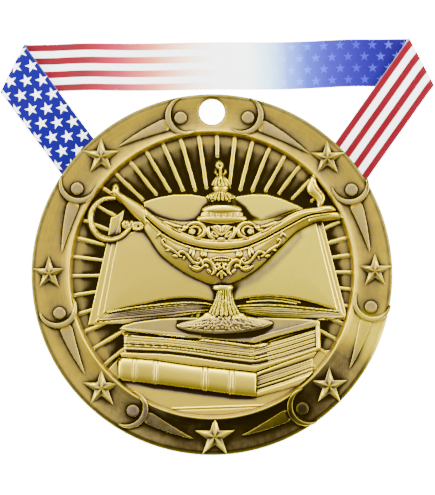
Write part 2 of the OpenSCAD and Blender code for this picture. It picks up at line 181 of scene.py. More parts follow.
class Relief:
    """A map of heights over a rectangle, carved by adding shapes to it one by one."""

    def __init__(self, low, high, pitch, base):
        self.low = np.array(low, float)
        self.high = np.array(high, float)
        self.pitch = pitch
        self.nx = int(math.ceil((high[0] - low[0]) / pitch)) + 1
        self.ny = int(math.ceil((high[1] - low[1]) / pitch)) + 1
        self.h = np.full((self.ny, self.nx), base, np.float32)
        self.under = None
        self.above = None
        self.shade = None

    def grid(self):
        """X and Y of all points of the map."""
        return np.meshgrid(self.low[0] + np.arange(self.nx) * self.pitch,
                           self.low[1] + np.arange(self.ny) * self.pitch)

    def window(self, points, reach):
        p = np.asarray(points)
        a = np.floor((p.min(0)[:2] - reach - self.low) / self.pitch).astype(int)
        b = np.ceil((p.max(0)[:2] + reach - self.low) / self.pitch).astype(int) + 1
        x0, x1 = max(a[0], 0), min(b[0], self.nx)
        y0, y1 = max(a[1], 0), min(b[1], self.ny)
        if x0 >= x1 or y0 >= y1:
            return None
        X, Y = np.meshgrid(self.low[0] + np.arange(x0, x1) * self.pitch,
                           self.low[1] + np.arange(y0, y1) * self.pitch)
        return (slice(y0, y1), slice(x0, x1)), X.astype(np.float32), Y.astype(np.float32)

    def keep_ground(self):
        """From here on, strokes lie on the surface as it is now."""
        self.under = self.h.copy()

    def plate(self, outline, top, bevel, slope=5.0, crown=0.0, crown_reach=4.0):
        """A raised plate with round edges, domed by its crown."""
        got = self.window(outline, 0.6)
        if got is None:
            return
        at, X, Y = got
        sd = outline_distance(X, Y, outline)
        edge = np.clip(1 + sd / bevel, 0, 1)
        h = top - bevel * (1 - np.sqrt(1 - edge * edge)) - slope * np.maximum(sd, 0)
        h = h + crown * (1 - (1 - np.clip(-sd / crown_reach, 0, 1)) ** 2)
        self.h[at] = np.maximum(self.h[at], h)

    def stroke(self, line, widths, rise, flat=0.0, sink=0.0):
        """A raised bead along a line, on the kept ground. widths are half widths."""
        line = np.asarray(line, float)
        widths = np.broadcast_to(np.asarray(widths, float), (len(line),))
        got = self.window(line[:, :2], widths.max() + 2 * self.pitch)
        if got is None:
            return
        at, X, Y = got
        d, half = line_distance(X, Y, line[:, :2], widths)
        ground = self.under[at] if self.under is not None else self.h[at]
        round_top = np.sqrt(np.clip(1 - np.clip(d, 0, 1) ** 2, 0, 1))
        lift = rise * np.minimum(round_top / max(1 - flat, 1e-3), 1) * np.minimum(half / 0.22, 1)
        self.h[at] = np.where(d < 1, np.maximum(self.h[at], ground - sink + lift), self.h[at])

    def groove(self, line, width, depth):
        """A soft cut along a line."""
        line = np.asarray(line, float)
        got = self.window(line[:, :2], width + 2 * self.pitch)
        if got is None:
            return
        at, X, Y = got
        d, _ = line_distance(X, Y, line[:, :2], np.full(len(line), width))
        self.h[at] = self.h[at] - depth * ease(1 - d)

    def turned(self, rows, rise, base):
        """A turned form seen from the side. A row is [Y, left X, right X]."""
        rows = np.asarray(rows, float)
        rows = rows[np.argsort(rows[:, 0], kind="stable")]
        got = self.window(np.concatenate([rows[:, [1, 0]], rows[:, [2, 0]]]), 0.3)
        if got is None:
            return
        at, X, Y = got
        left = np.interp(Y, rows[:, 0], rows[:, 1])
        right = np.interp(Y, rows[:, 0], rows[:, 2])
        half = (right - left) / 2
        u = (X - (left + right) / 2) / np.maximum(half, 1e-3)
        within = (np.abs(u) < 1) & (Y >= rows[0, 0]) & (Y <= rows[-1, 0])
        arch = np.sqrt(np.clip(1 - u * u, 0, 1))
        h = base + rise * arch * (0.55 + 0.45 * half / max(half.max(), 1e-3))
        self.h[at] = np.where(within, np.maximum(self.h[at], h), self.h[at])

    def at(self, x, y, which=None):
        """Heights at points, read between the map's own."""
        h = self.h if which is None else which
        fx = np.clip((np.asarray(x) - self.low[0]) / self.pitch, 0, self.nx - 1.001)
        fy = np.clip((np.asarray(y) - self.low[1]) / self.pitch, 0, self.ny - 1.001)
        i, j = fx.astype(int), fy.astype(int)
        a, b = fx - i, fy - j
        return ((h[j, i] * (1 - a) + h[j, i + 1] * a) * (1 - b)
                + (h[j + 1, i] * (1 - a) + h[j + 1, i + 1] * a) * b)


def refined_grid(relief, pick, fine, tolerance):
    """Triangles over a height map, small where it bends and large where it is flat.

    Right triangles are halved across their longest side until they follow the map."""
    coarse = fine * 2 ** (LEVELS // 2)
    low, high = relief.low, relief.high
    nx = int(math.ceil((high[0] - low[0]) / coarse))
    ny = int(math.ceil((high[1] - low[1]) / coarse))
    gx, gy = np.meshgrid(low[0] + np.arange(nx + 1) * coarse, low[1] + np.arange(ny + 1) * coarse)
    P = np.stack([gx.ravel(), gy.ravel()], 1)
    i, j = np.meshgrid(np.arange(nx), np.arange(ny))
    a = (j * (nx + 1) + i).ravel()
    b, c, d = a + 1, a + nx + 1, a + nx + 2
    T = np.concatenate([np.stack([d, a, b], 1), np.stack([a, d, c], 1)])
    # How much the map bends over the reach, kept as a pyramid of the largest bends
    step = max(1, int(round(BEND_REACH / relief.pitch)))
    bend = np.zeros_like(relief.h)
    for h, weight in ((relief.h, 1.0), (relief.shade, 0.1)):
        if h is None:
            continue
        mid = h[step:-step, step:-step]
        bend[step:-step, step:-step] = np.maximum(bend[step:-step, step:-step], weight * np.maximum(
            np.abs(h[2 * step:, step:-step] + h[:-2 * step, step:-step] - 2 * mid),
            np.abs(h[step:-step, 2 * step:] + h[step:-step, :-2 * step] - 2 * mid)))
    pyramid = [bend]
    while min(pyramid[-1].shape) > 2:
        q = pyramid[-1]
        q = np.pad(q, ((0, q.shape[0] % 2), (0, q.shape[1] % 2)))
        pyramid.append(q.reshape(q.shape[0] // 2, 2, q.shape[1] // 2, 2).max(axis=(1, 3)))
    for _ in range(LEVELS):
        diagonal = np.linalg.norm(P[T[:, 0]] - P[T[:, 1]], axis=1)
        middle = (P[T[:, 0]] + P[T[:, 1]]) / 2
        size = diagonal / math.sqrt(2)
        k = np.ceil(np.log2(np.maximum(size, 1e-6) / relief.pitch)).astype(int)
        k = np.clip(k, 0, len(pyramid) - 1)
        rough = np.zeros(len(T))
        for level in np.unique(k):
            at = np.where(k == level)[0]
            q = pyramid[level]
            cell = relief.pitch * 2 ** level
            ci = ((middle[at] - relief.low) / cell).astype(int)
            for ox in (-1, 0, 1):
                for oy in (-1, 0, 1):
                    x = np.clip(ci[:, 0] + ox, 0, q.shape[1] - 1)
                    y = np.clip(ci[:, 1] + oy, 0, q.shape[0] - 1)
                    rough[at] = np.maximum(rough[at], q[y, x])
        want = (rough * (size / BEND_REACH) ** 2 / 8 > tolerance) & (size > fine * 1.001)
        want &= pick(middle[:, 0], middle[:, 1], size)
        if not want.any():
            break
        pairs = np.sort(np.concatenate([T[:, [0, 1]], T[:, [1, 2]], T[:, [2, 0]]]), axis=1)
        keys = pairs[:, 0].astype(np.int64) * len(P) + pairs[:, 1]
        unique, index = np.unique(keys, return_inverse=True)
        n = len(T)
        e0, e1, e2 = index[:n], index[n:2 * n], index[2 * n:]
        marked = np.zeros(len(unique), bool)
        marked[e0[want]] = True
        while True:
            need = (marked[e1] | marked[e2]) & ~marked[e0]
            if not need.any():
                break
            marked[e0[need]] = True
        new = np.full(len(unique), -1)
        new[marked] = len(P) + np.arange(marked.sum())
        ends = np.stack([unique // len(P), unique % len(P)], 1)[marked]
        split = marked[e0]
        m = new[e0[split]]
        v0, v1, v2 = T[split].T
        f1, f2 = e1[split], e2[split]
        P = np.concatenate([P, (P[ends[:, 0]] + P[ends[:, 1]]) / 2])
        out = [T[~split]]
        again = marked[f2]
        out.append(np.stack([v2, v0, m], 1)[~again])
        mm = new[f2[again]]
        out.append(np.stack([m[again], v2[again], mm], 1))
        out.append(np.stack([v0[again], m[again], mm], 1))
        again = marked[f1]
        out.append(np.stack([v1, v2, m], 1)[~again])
        mm = new[f1[again]]
        out.append(np.stack([m[again], v1[again], mm], 1))
        out.append(np.stack([v2[again], m[again], mm], 1))
        T = np.concatenate(out)
    return P, T


def relief_mesh(name, relief, floor, keep_radius, fine, tolerance):
    """A closed solid from the part of a height map that stands above the floor."""
    P, T = refined_grid(relief, lambda x, y, s: relief_near(relief, x, y, s, floor), fine, tolerance)
    z = relief.at(P[:, 0], P[:, 1])
    # Turn every triangle to face up
    area = np.cross(P[T[:, 1]] - P[T[:, 0]], P[T[:, 2]] - P[T[:, 0]])
    T = np.where((area < 0)[:, None], T[:, ::-1], T)
    keep = (z[T] > floor + ABOVE).any(axis=1)
    if keep_radius:
        far = np.linalg.norm(P, axis=1)
        keep &= (far[T] < keep_radius).any(axis=1)
        P = P * np.where(far > keep_radius, keep_radius / np.maximum(far, 1e-9), 1.0)[:, None]
    T = T[keep]
    used, index = np.unique(T, return_inverse=True)
    T = index.reshape(-1, 3)
    P, z = P[used], np.maximum(z[used], floor)
    top = np.column_stack([P, z])
    edges = np.concatenate([T[:, [0, 1]], T[:, [1, 2]], T[:, [2, 0]]])
    forward = edges[:, 0].astype(np.int64) * len(P) + edges[:, 1]
    backward = edges[:, 1].astype(np.int64) * len(P) + edges[:, 0]
    rim = edges[~np.isin(forward, backward)]
    mesh = bpy.data.meshes.new(name)
    foot = floor - 0.3
    # The wall under the rim, and the flat underside
    ring, ring_index = np.unique(rim, return_inverse=True)
    ring_index = ring_index.reshape(-1, 2) + len(top)
    under = np.column_stack([P[ring], np.full(len(ring), foot)])
    walls = np.column_stack([rim[:, 1], rim[:, 0], ring_index[:, 0], ring_index[:, 1]])
    verts = np.concatenate([top, under])
    bm = bmesh.new()
    lower = [bm.verts.new((*p[:2], foot)) for p in under]
    lower_edges = []
    for a, b in np.unique(np.sort(ring_index - len(top), axis=1), axis=0):
        lower_edges.append(bm.edges.new((lower[a], lower[b])))
    filled = bmesh.ops.triangle_fill(bm, edges=lower_edges, use_beauty=False, normal=(0, 0, -1))
    bm.verts.index_update()
    floor_faces = []
    for f in filled["geom"]:
        if isinstance(f, bmesh.types.BMFace):
            ids = [v.index for v in f.verts]
            if f.normal.z > 0 or f.calc_area() == 0:
                ids = ids[::-1]
            floor_faces.append([len(top) + i for i in ids])
    bm.free()
    mesh.from_pydata(in_frame(verts), [], T.tolist() + walls.tolist() + floor_faces)
    mesh.validate()
    smooth(mesh, 62)
    return mesh


def relief_near(relief, x, y, size, floor):
    """True where the map stands above the floor close by."""
    if relief.above is None:
        up = (relief.h > floor + ABOVE).astype(np.float32)
        relief.above = blurred(up, relief.pitch, 0.25) > 1e-4
    i = np.clip(((x - relief.low[0]) / relief.pitch).astype(int), 0, relief.nx - 1)
    j = np.clip(((y - relief.low[1]) / relief.pitch).astype(int), 0, relief.ny - 1)
    return relief.above[j, i] | (size > 0.5)


def between(first, last, share, count=24):
    """A line at a share of the way from one line to another."""
    lines = []
    for line in (first, last):
        p = np.asarray(line, float)
        run = np.concatenate([[0], np.cumsum(np.linalg.norm(np.diff(p, axis=0), axis=1))])
        t = np.linspace(0, run[-1], count)
        lines.append(np.stack([np.interp(t, run, p[:, 0]), np.interp(t, run, p[:, 1])], 1))
    return lines[0] * (1 - share) + lines[1] * share


def curl(middle, start, end, turn_from, turns):
    """A spiral, on the sheet."""
    t = np.linspace(0, 1, CURL_STEPS)
    radius = start + (end - start) * t ** 0.8
    turn = np.radians(turn_from) + 2 * math.pi * turns * t
    return np.stack([middle[0] + radius * np.cos(turn), middle[1] - radius * np.sin(turn)], 1)


OPEN_COVER = [(111.1, 217.2), (106.8, 243), (88.2, 324.8), (100, 324.5), (133.2, 323.2), (174.6, 317),
              (203.6, 312), (234, 312), (272.7, 319.8), (295.7, 320.2), (324.4, 320.2), (346.6, 319.3),
              (345.6, 311), (323.6, 224.6), (320, 216), (290, 222), (262, 236), (221, 246), (190, 240),
              (160, 222), (146, 212), (146, 227), (131, 231.5), (119.6, 238), (120.6, 228), (124.2, 209.9),
              (117.9, 214.8), (114.1, 216.7)]
INNER_COVER = [(121.2, 214), (118.4, 226), (112.5, 240), (97.5, 316.2), (101.5, 320.6), (133.2, 318.6),
               (174.6, 313.6), (203.6, 309.5), (234, 309.5), (272.7, 317), (324.4, 318.2), (344, 317.4),
               (341.4, 310.6), (319.5, 226), (316, 218), (290, 226), (262, 240), (221, 250), (190, 244),
               (160, 228), (146, 228), (131, 232.5), (119.9, 238.6), (120.6, 228)]
LEFT_PAGE = [(146, 228), (145.5, 212), (143.7, 202.4), (151, 199.6), (159.8, 197.4), (173.2, 194.9),
             (191, 194.6), (204.5, 197), (214, 203), (217, 240), (214.2, 300.8), (208.2, 299.4),
             (197.1, 297.2), (184.3, 296.6), (171.5, 297.6), (158.6, 299.4), (145.8, 302.6), (128.7, 306.2),
             (115.9, 309.4), (103.2, 313.2), (112.5, 262), (117.2, 240.6), (122, 238), (131, 232.6)]
RIGHT_PAGE = [(226, 203), (238, 196.6), (252.8, 194.5), (267.2, 194.9), (281.5, 199), (298.8, 206.2),
              (314, 214), (321.4, 245), (337.4, 309.8), (329.8, 306.9), (317.4, 302.9), (304.9, 299.6),
              (292.5, 297.1), (280, 295.9), (267.6, 295.2), (255.2, 295.9), (242.7, 297.5), (231, 300.4),
              (228, 240)]
LEFT_LEAVES = [(102.6, 313.4), (115.9, 309.2), (128.7, 306), (145.8, 302.4), (158.6, 299.2), (171.5, 297.4),
               (184.3, 296.4), (197.1, 297), (208.2, 299.2), (216, 301), (214, 311), (203.9, 312.2),
               (188.6, 313.6), (171.5, 315.6), (158.6, 317), (137.3, 318.8), (115.9, 320.8), (93.6, 322.8)]
RIGHT_LEAVES = [(229, 301), (247.8, 297.5), (265, 296), (281, 297), (295.7, 299.4), (314.8, 305.4),
                (336.8, 310.6), (345, 314.9), (344, 317.6), (324.4, 318), (295.7, 318), (272.7, 317.2),
                (250, 313), (229, 310)]
# Lower edges of the pages, the bright leaf under each and the block's bottom, between left and right
LEFT_EDGE = [(108, 311.6), (128.7, 306.8), (145.8, 303.2), (158.6, 300), (171.5, 298.2), (184.3, 297.2),
             (197.1, 297.8), (208.2, 300), (216, 301.8)]
LEFT_LEAF = [(108, 312.2), (127, 308.3), (141.6, 306.2), (154.4, 304.9), (167.2, 303.4), (180, 302.4),
             (192.8, 302.3), (205.7, 303.1), (214, 305)]
LEFT_LOW = [(97, 321.4), (115.9, 319.9), (137.3, 317.9), (158.6, 316), (171.5, 314.8), (180, 313.6),
            (188.6, 312.6), (203.9, 311.4), (214, 310.6)]
RIGHT_EDGE = [(231, 300.8), (242.7, 298.1), (255.2, 296.5), (267.6, 295.8), (280, 296.5), (292.5, 297.7),
              (304.9, 300.2), (317.4, 303.5), (335, 309.6)]
RIGHT_LEAF = [(234, 306.4), (241.1, 305.6), (255.2, 304.8), (267.6, 304.6), (280, 305.2), (292.5, 306.2),
              (304.9, 307.5), (317.4, 308.7), (338.1, 310.9)]
RIGHT_LOW = [(234, 311), (245.2, 313.6), (255.2, 315.8), (267.6, 317.6), (280, 318.2), (292.5, 318.2),
             (304.9, 318.2), (324, 318.3), (344, 318.4)]
COVER_TOP = [(119.8, 328.8), (122.8, 326), (135, 322.4), (160, 319), (180, 318), (268, 318), (300, 319),
             (318.4, 320.6), (318, 325.8), (294.3, 331.6), (272.4, 337.2), (255.7, 342.6), (223, 340),
             (190.5, 337.4), (162.6, 334.8), (130, 331.2)]
COVER_EDGE = [(123.4, 333.8), (150, 335.2), (176.5, 337.2), (190.5, 338.9), (227.7, 343.2), (254.6, 346.4),
              (272.4, 341.2), (291.6, 334.8), (315.6, 328.2)]
BLOCK_TOP = [(124, 335), (168.2, 338.4), (199.8, 341.6), (227.7, 345), (254.6, 348), (285, 339),
             (315.8, 329.8)]
BLOCK_LOW = [(124, 352.6), (168, 354.1), (190.5, 356.9), (223, 362), (254.7, 366), (283.4, 358.6),
             (315.8, 347.8)]
BLOCK_END = [(315.6, 326.2), (317.9, 320.6), (319.6, 321.6), (320.5, 349), (316.2, 350.4)]
UNDER_COVER = [(120.4, 353.6), (122.6, 352.4), (168, 354.1), (190.5, 356.8), (223, 361.8), (255.4, 366),
               (283.4, 358.4), (315.8, 347.4), (320.4, 348.6), (316.6, 351.2), (283.4, 361.8), (255.6, 371.2),
               (227.7, 368.6), (193.3, 365), (153.2, 359.2), (121.4, 356.6)]
SPINE_TOP = [(118.6, 361.2), (121.6, 357.8), (153.2, 360.4), (193.3, 366.2), (227.7, 369.8), (256.4, 373)]
SPINE_LOW = [(119, 377.4), (122.4, 380.2), (163, 384.6), (210, 391), (235, 394.4), (256.4, 396.6)]
TOP_BOARD = [(256.8, 372.8), (283.4, 362.8), (314.6, 351.8), (316, 352.6), (313.2, 357), (283.4, 367),
             (263, 373.6), (257.2, 376)]
FORE_TOP = [(257, 375), (283.4, 366.6), (312.6, 356.8)]
FORE_LOW = [(257, 392.6), (283.4, 384.4), (312.4, 373.8)]
UNDER_BOARD = [(256.4, 392.2), (283.4, 384), (312.6, 373.4), (314.4, 373.2), (304.2, 382.9),
               (283.4, 389.5), (256.6, 396.6)]
# Outlines of painted shade: round the lamp's foot, on the bowl's lower body, and the cast shadows of the bowl
# and the lid on the pages, of the spine on the ground and of the foot on the cover
UNDER_FOOT = [(176.6, 316), (190, 313.4), (206, 312), (204, 315), (196, 318.4), (186, 321.4), (177, 324)]
BODY_SHADE = [(165, 250), (182, 263), (205, 278), (221, 284), (240, 277), (262, 262), (280, 248), (262, 252),
              (242, 266), (221, 275), (200, 265), (182, 253)]
BOWL_SHADOW = [(224, 289), (240, 283), (256, 275), (270, 263), (286, 248), (300, 234), (306, 236), (290, 256),
            (274, 272), (258, 284), (240, 292), (224, 300)]
LID_SHADOW = [(234, 199), (238, 200), (246, 206), (252, 214), (258, 218), (250, 221), (243, 216), (236, 206)]
SPINE_SHADOW = [(119, 379), (163, 386), (210, 392.4), (256, 398), (256, 401), (210, 396.4), (163, 390.4),
             (121, 384)]
COVER_PIECE = [(110, 216), (126, 208), (122, 240), (106, 240)]
FOOT_SHADOW = [(177.4, 328), (188, 331), (209, 333.4), (226.6, 333.4), (245.7, 330.6), (264.8, 326.4),
            (272.6, 323.4), (272.4, 328), (264, 333.6), (250, 337.6), (228, 338.8), (206, 337.2),
            (190, 334.4)]
# Outline of a painted pool of light on the pages
PAGE_GLOW = [(262, 288), (280, 236), (308, 232), (322, 290), (300, 294)]
GROUND = [(104, 374), (119, 358), (123, 357), (254, 366), (317, 351), (326, 350.6), (334, 349.4),
          (352, 360), (340, 425), (90, 425)]

RIM_TOP = [(145, 208.6), (155.4, 217), (168.8, 225.2), (182.1, 231.8), (200, 237.8), (215, 239.6),
           (232, 239.2), (248, 236.9), (262.4, 230.4), (276.7, 222.9), (290, 214.6), (303.4, 209.4),
           (316.8, 207.6), (325.7, 205.8), (332.4, 206.8), (335.8, 210.2)]
RIM_LOW = [(144.8, 215.6), (152, 222.6), (160, 229.6), (170.5, 236.8), (182.9, 242.4), (199.5, 247),
           (216.1, 249), (224, 249.1), (243.3, 246.6), (262.4, 238.8), (276, 231.6), (290, 224),
           (307.9, 214.9), (325.7, 211.8), (334.4, 211)]
LIP = [(309.1, 217.6), (318.2, 214.4), (327.3, 212.8), (336.4, 212.4), (340.9, 214.6), (344.3, 218.4),
       (336.4, 218.8), (327.3, 219.1), (318.2, 220.5), (309.1, 222.7)]
LIP_TOP = [(307.9, 216), (325.7, 212.8), (334.6, 211.6), (339.6, 213.4), (343.9, 218.2)]
BODY_LOW = [(141.6, 222), (144.4, 231), (151.4, 242.4), (159.7, 254.6), (170.5, 264), (182.9, 272.4),
            (195.4, 279), (207.8, 284), (214, 285.2), (223, 285.4), (231.6, 284), (241.1, 280),
            (253.6, 272.6), (265.1, 263), (274.6, 253.5), (284.2, 244.5), (293.8, 234.8), (300.7, 229.9),
            (315, 223.2), (329.4, 220.4), (343.9, 219.2)]
LID_GROUND = [(147, 211.5), (158, 217.6), (168, 220.6), (182, 222.4), (197, 221.6), (246, 221.6),
              (262, 221.4), (276, 218.4), (291, 212.4), (300, 209), (306, 209.8), (291, 218), (262, 232),
              (248, 238.6), (215, 241), (200, 239.6), (182, 233.4), (168, 227), (155, 218.6)]
BELL_ROWS = [(174.6, 217.6, 223.2), (177, 216, 225), (180, 213.8, 227.6), (183, 212, 229.8),
             (184.4, 211.6, 230.4)]
CUP_ROWS = [(186.8, 213.4, 228), (188.4, 212.8, 228.4), (190.6, 213.8, 227.4), (193.4, 216.6, 225)]
SKIRT_ROWS = [(192.2, 213.4, 228), (193.6, 210.4, 231), (195.6, 207.2, 234.2), (197.4, 205.4, 236.2)]
NECK_ROWS = [(200.6, 210.4, 231.8), (203, 211.4, 230.8), (205.4, 209.4, 232.8), (206.6, 206.6, 236.2)]
TIER_ROWS = [(205.4, 211, 233), (205.9, 208.4, 235.6), (207, 205.2, 238.8), (208.6, 202.8, 241),
             (210.4, 202.2, 241.6), (211.5, 205, 238.8), (212.4, 211, 232.8), (213, 217, 227)]
FOLD_ROWS = [(211.4, 203, 241), (213.4, 201, 243), (216.4, 200.4, 243.6), (218.6, 201.2, 242.8)]
BRIM_ROWS = [(216.8, 198.4, 245.4), (218.4, 196.6, 246.8), (219.8, 197, 246.4), (221.4, 200.4, 243),
             (222.8, 206, 237.4), (223.8, 213, 230.4)]
COLLAR_ROWS = [(285.4, 214.4, 231.4), (286.2, 213.2, 232.6), (287.8, 212.8, 232.9), (289.4, 213.4, 232.4),
               (290.2, 214.8, 231)]
STEM_ROWS = [(290, 217, 232), (294, 216.6, 232.4), (298, 215.8, 233), (303, 213.6, 234.4),
             (307.6, 211, 236.8), (311, 209.2, 238.8), (312.6, 208.4, 239.6)]
FOOT = [(176.4, 326.2), (178, 323.6), (184, 321.4), (195.4, 319.4), (203, 315.6), (208.6, 312.4),
        (240, 312.8), (246, 316), (256, 318), (266.6, 319.4), (272, 321.6), (272.4, 324), (267.4, 327.4),
        (256, 330.6), (240, 332.8), (222, 334), (206, 333.6), (192, 332), (181, 329.2)]
FLAME = [(313.6, 173.4), (311.4, 177), (309.6, 181), (307.4, 187), (307.5, 190.8), (309.4, 194.2),
         (313.6, 197.3), (316.6, 201.4), (317.4, 205.4), (317.2, 209.4), (320.4, 206.8), (323.2, 203.6),
         (325, 198.2), (323.2, 193.6), (319.4, 188.4), (316.6, 183.8), (315.6, 178.2)]
THUMB = [(113.1, 194.6), (111.9, 191.6), (112.4, 188.4), (113.2, 185.6), (115.5, 184), (117.8, 185.4),
         (118.9, 188.6), (119.9, 192), (127.6, 197.1), (137.3, 202.9), (143.8, 207.3), (147, 212),
         (148, 219), (146, 226), (142.6, 222.6), (138.8, 220.3), (132.5, 214.5), (125.2, 206.2),
         (118.9, 199.5)]
HANDLE = [(114.4, 198.2, 2.2), (104.5, 199, 2.5), (96.6, 203.8, 2.9), (91.8, 211, 3.3), (90.6, 219.2, 3.4),
          (92.2, 227.4, 3.4), (97.2, 234.4, 3.4), (104.6, 238.6, 3.4), (112.8, 239.4, 3.2),
          (120.6, 236.8, 3), (126.8, 231.6, 2.7), (130.4, 226.4, 2.3), (132, 221.8, 1.6)]

# Scrolls of the bowl's left half. A row is X, Y and half the width, on the sheet
BOWL_SCROLLS = [
    [(156.1, 237.8, 0.5), (158.4, 234.6, 1), (160.6, 234, 1.2), (162.6, 236.8, 0.6)],
    [(165.4, 240.8, 0.7), (164.4, 238.9, 0.9), (162.4, 240, 1), (162.4, 242.6, 1.1), (164.4, 245, 1.2),
     (167.6, 247, 1.5), (171.4, 249.2, 1.5), (175, 251.4, 1.2), (177.6, 253.6, 0.6)],
    [(165.6, 250.5, 0.5), (168.6, 250.2, 1.1), (170.6, 248.8, 0.9)],
    [(173.4, 255.6, 1), (175, 256, 1.5), (176.6, 256.4, 1.1)],
    [(181.4, 256.2, 0.8), (179.5, 255.8, 1), (178.6, 253.8, 1.1), (180, 252, 1.2), (183.2, 251.5, 1.3),
     (186.4, 253.8, 1.3), (188.8, 257, 1.3), (191.6, 260.4, 1.3), (194.9, 262.7, 1.3), (198.2, 263.2, 1.2),
     (200.6, 261.8, 1.1), (201, 259.5, 1), (199.2, 258.1, 0.9), (197.4, 258.8, 0.8), (197.9, 260.3, 0.7)],
    [(184.4, 256.8, 0.8), (183.9, 258.8, 1)],
    [(190, 253.6, 0.7), (190.9, 250.4, 1.4), (192.3, 248, 0.9), (193.7, 250.4, 1.1), (193.3, 253.6, 1.3),
     (193, 256.4, 0.7)],
    [(189.6, 265.4, 0.6), (192.6, 268, 1.4), (196.8, 269.7, 1.7), (200.4, 268.8, 1.4), (202.5, 266.8, 0.9)],
    [(194, 265.8, 0.5), (197.2, 266.6, 0.9), (199.6, 267.4, 0.6)],
    [(202.6, 264, 1), (203.4, 261.2, 1.3), (206.5, 259.9, 1.6), (210.2, 261.5, 1.7), (213, 264.9, 1.7),
     (214.6, 268.9, 1.6), (214.4, 272, 1.4), (211.9, 274.4, 0.8)],
    [(204, 265.8, 1.2), (206.2, 265.5, 1.6), (207.4, 266.6, 1)],
    [(208.2, 270, 1.3), (209.6, 271.6, 1.5)],
    [(214.6, 265.4, 0.9), (217, 264.6, 1.2), (219.2, 266.2, 1.2), (218.4, 269, 1), (216.2, 268.6, 0.7)],
]
BOWL_CURLS = [((203.3, 253.8), 3.3, 0.9, 320, 1.35, 1.05)]
BOWL_BEADS = [(260, 214.6, 228.2, 7, 1.15), (263.2, 217.4, 225.4, 4, 1.0), (264.2, 219.4, 223.4, 2, 1.05),
              (267.6, 220.6, 222.2, 1, 1.3)]
# Scrolls under the lid, left half
LID_SCROLLS = [
    [(161.6, 221.2, 0.4), (168, 223, 1.3), (174.6, 225.6, 1.5), (181, 226.6, 0.8)],
    [(172, 227.4, 0.5), (178.4, 230, 1.4), (184, 229.8, 1), (188, 226.4, 0.6)],
    [(187, 225.8, 0.7), (191.5, 223.2, 1.2), (197, 222.6, 1.5), (202, 225, 1.6), (205, 229.4, 1.7),
     (204, 233.8, 1.7), (200, 236.6, 1.5), (195.4, 237.6, 0.8)],
    [(190, 228, 0.5), (194.6, 226.4, 0.9), (199, 228, 1), (200.2, 231.4, 1), (198, 234.4, 0.6)],
    [(208.4, 227.2, 0.8), (208.4, 231.8, 1.4), (210, 236.2, 1.5), (214, 239, 1.1)],
    [(211.4, 231.4, 0.4), (214, 232.4, 0.8), (217.2, 235.4, 0.8)],
    [(211.6, 232.4, 0.4), (213, 235.4, 0.8), (217.4, 236.8, 0.6)],
]
LID_CURLS = [((192.4, 231.8), 3.2, 0.8, 200, -1.2, 1.05), ((184.6, 227.4), 1.9, 0.5, 200, -1.1, 0.8)]
PALMETTE = [(209.6, 226.4), (213.4, 225.4), (217.6, 224.6), (221.4, 225.8), (225.2, 224.6), (229.4, 225.4),
            (233.2, 226.4), (230, 230.2), (226.2, 233.6), (221.4, 236), (216.6, 233.6), (212.8, 230.2)]


def draw_open_book(r):
    """The open book's cover, leaves and two domed pages."""
    r.plate(sized(OPEN_COVER), 0.56, bevel=0.16)
    r.plate(sized(INNER_COVER), 0.66, bevel=0.1, slope=2.5)
    r.plate(sized(LEFT_LEAVES), 0.66, bevel=0.14)
    r.plate(sized(RIGHT_LEAVES), 0.66, bevel=0.14)
    # Under each page a deep gap, then one bright leaf and the fine lines of the others
    for page, leaf, low, lines in (
            (LEFT_EDGE, LEFT_LEAF, LEFT_LOW, ((0.3, 0.16), (0.46, 0.1), (0.6, 0.08), (0.74, 0.1))),
            (RIGHT_EDGE, RIGHT_LEAF, RIGHT_LOW, ((0.2, 0.14), (0.34, 0.08), (0.5, 0.1), (0.66, 0.07)))):
        gap = sized(page + leaf[::-1])
        at, X, Y = r.window(gap, 0.2)
        deep = ease(-outline_distance(X, Y, gap) / 0.2)
        r.h[at] = r.h[at] - 0.5 * deep
        r.keep_ground()
        for share, depth in lines:
            r.groove(sized(between(leaf, low, share)), 0.18, depth)
        r.groove(sized(np.array(leaf) + [0, 1.3]), 0.26, 0.3)
        r.stroke(sized(curve_through(leaf, 3)), 0.2, 0.3, flat=0.3)
        r.groove(sized(curve_through(low, 3)), 0.2, 0.3)
    r.under = np.full_like(r.h, 0.3)
    upper = [(250.2, 298.8), (263.5, 297.9), (275.9, 298.1), (288.3, 300), (300, 302.6)]
    lower = [(247, 302), (259.3, 300.9), (271.8, 300.6), (284.2, 301.7), (296, 303.6)]
    r.stroke(sized(curve_through(upper)), 0.13, 0.12)
    r.stroke(sized(curve_through(lower)), 0.17, 0.24)
    r.plate(sized(LEFT_PAGE), 0.86, bevel=0.14, slope=6, crown=0.1, crown_reach=6)
    r.plate(sized(RIGHT_PAGE), 0.86, bevel=0.14, slope=6, crown=0.1, crown_reach=6)
    # The pages roll down into the gutter behind the lamp's foot
    at, X, Y = r.window(sized([(205, 190), (238, 318)]), 0.2)
    gutter = sized([(221, 190), (222.5, 318)])
    d, _ = line_distance(X, Y, gutter, np.full(2, 2.6))
    r.h[at] = np.minimum(r.h[at], 0.35 + 0.62 * ease(d))


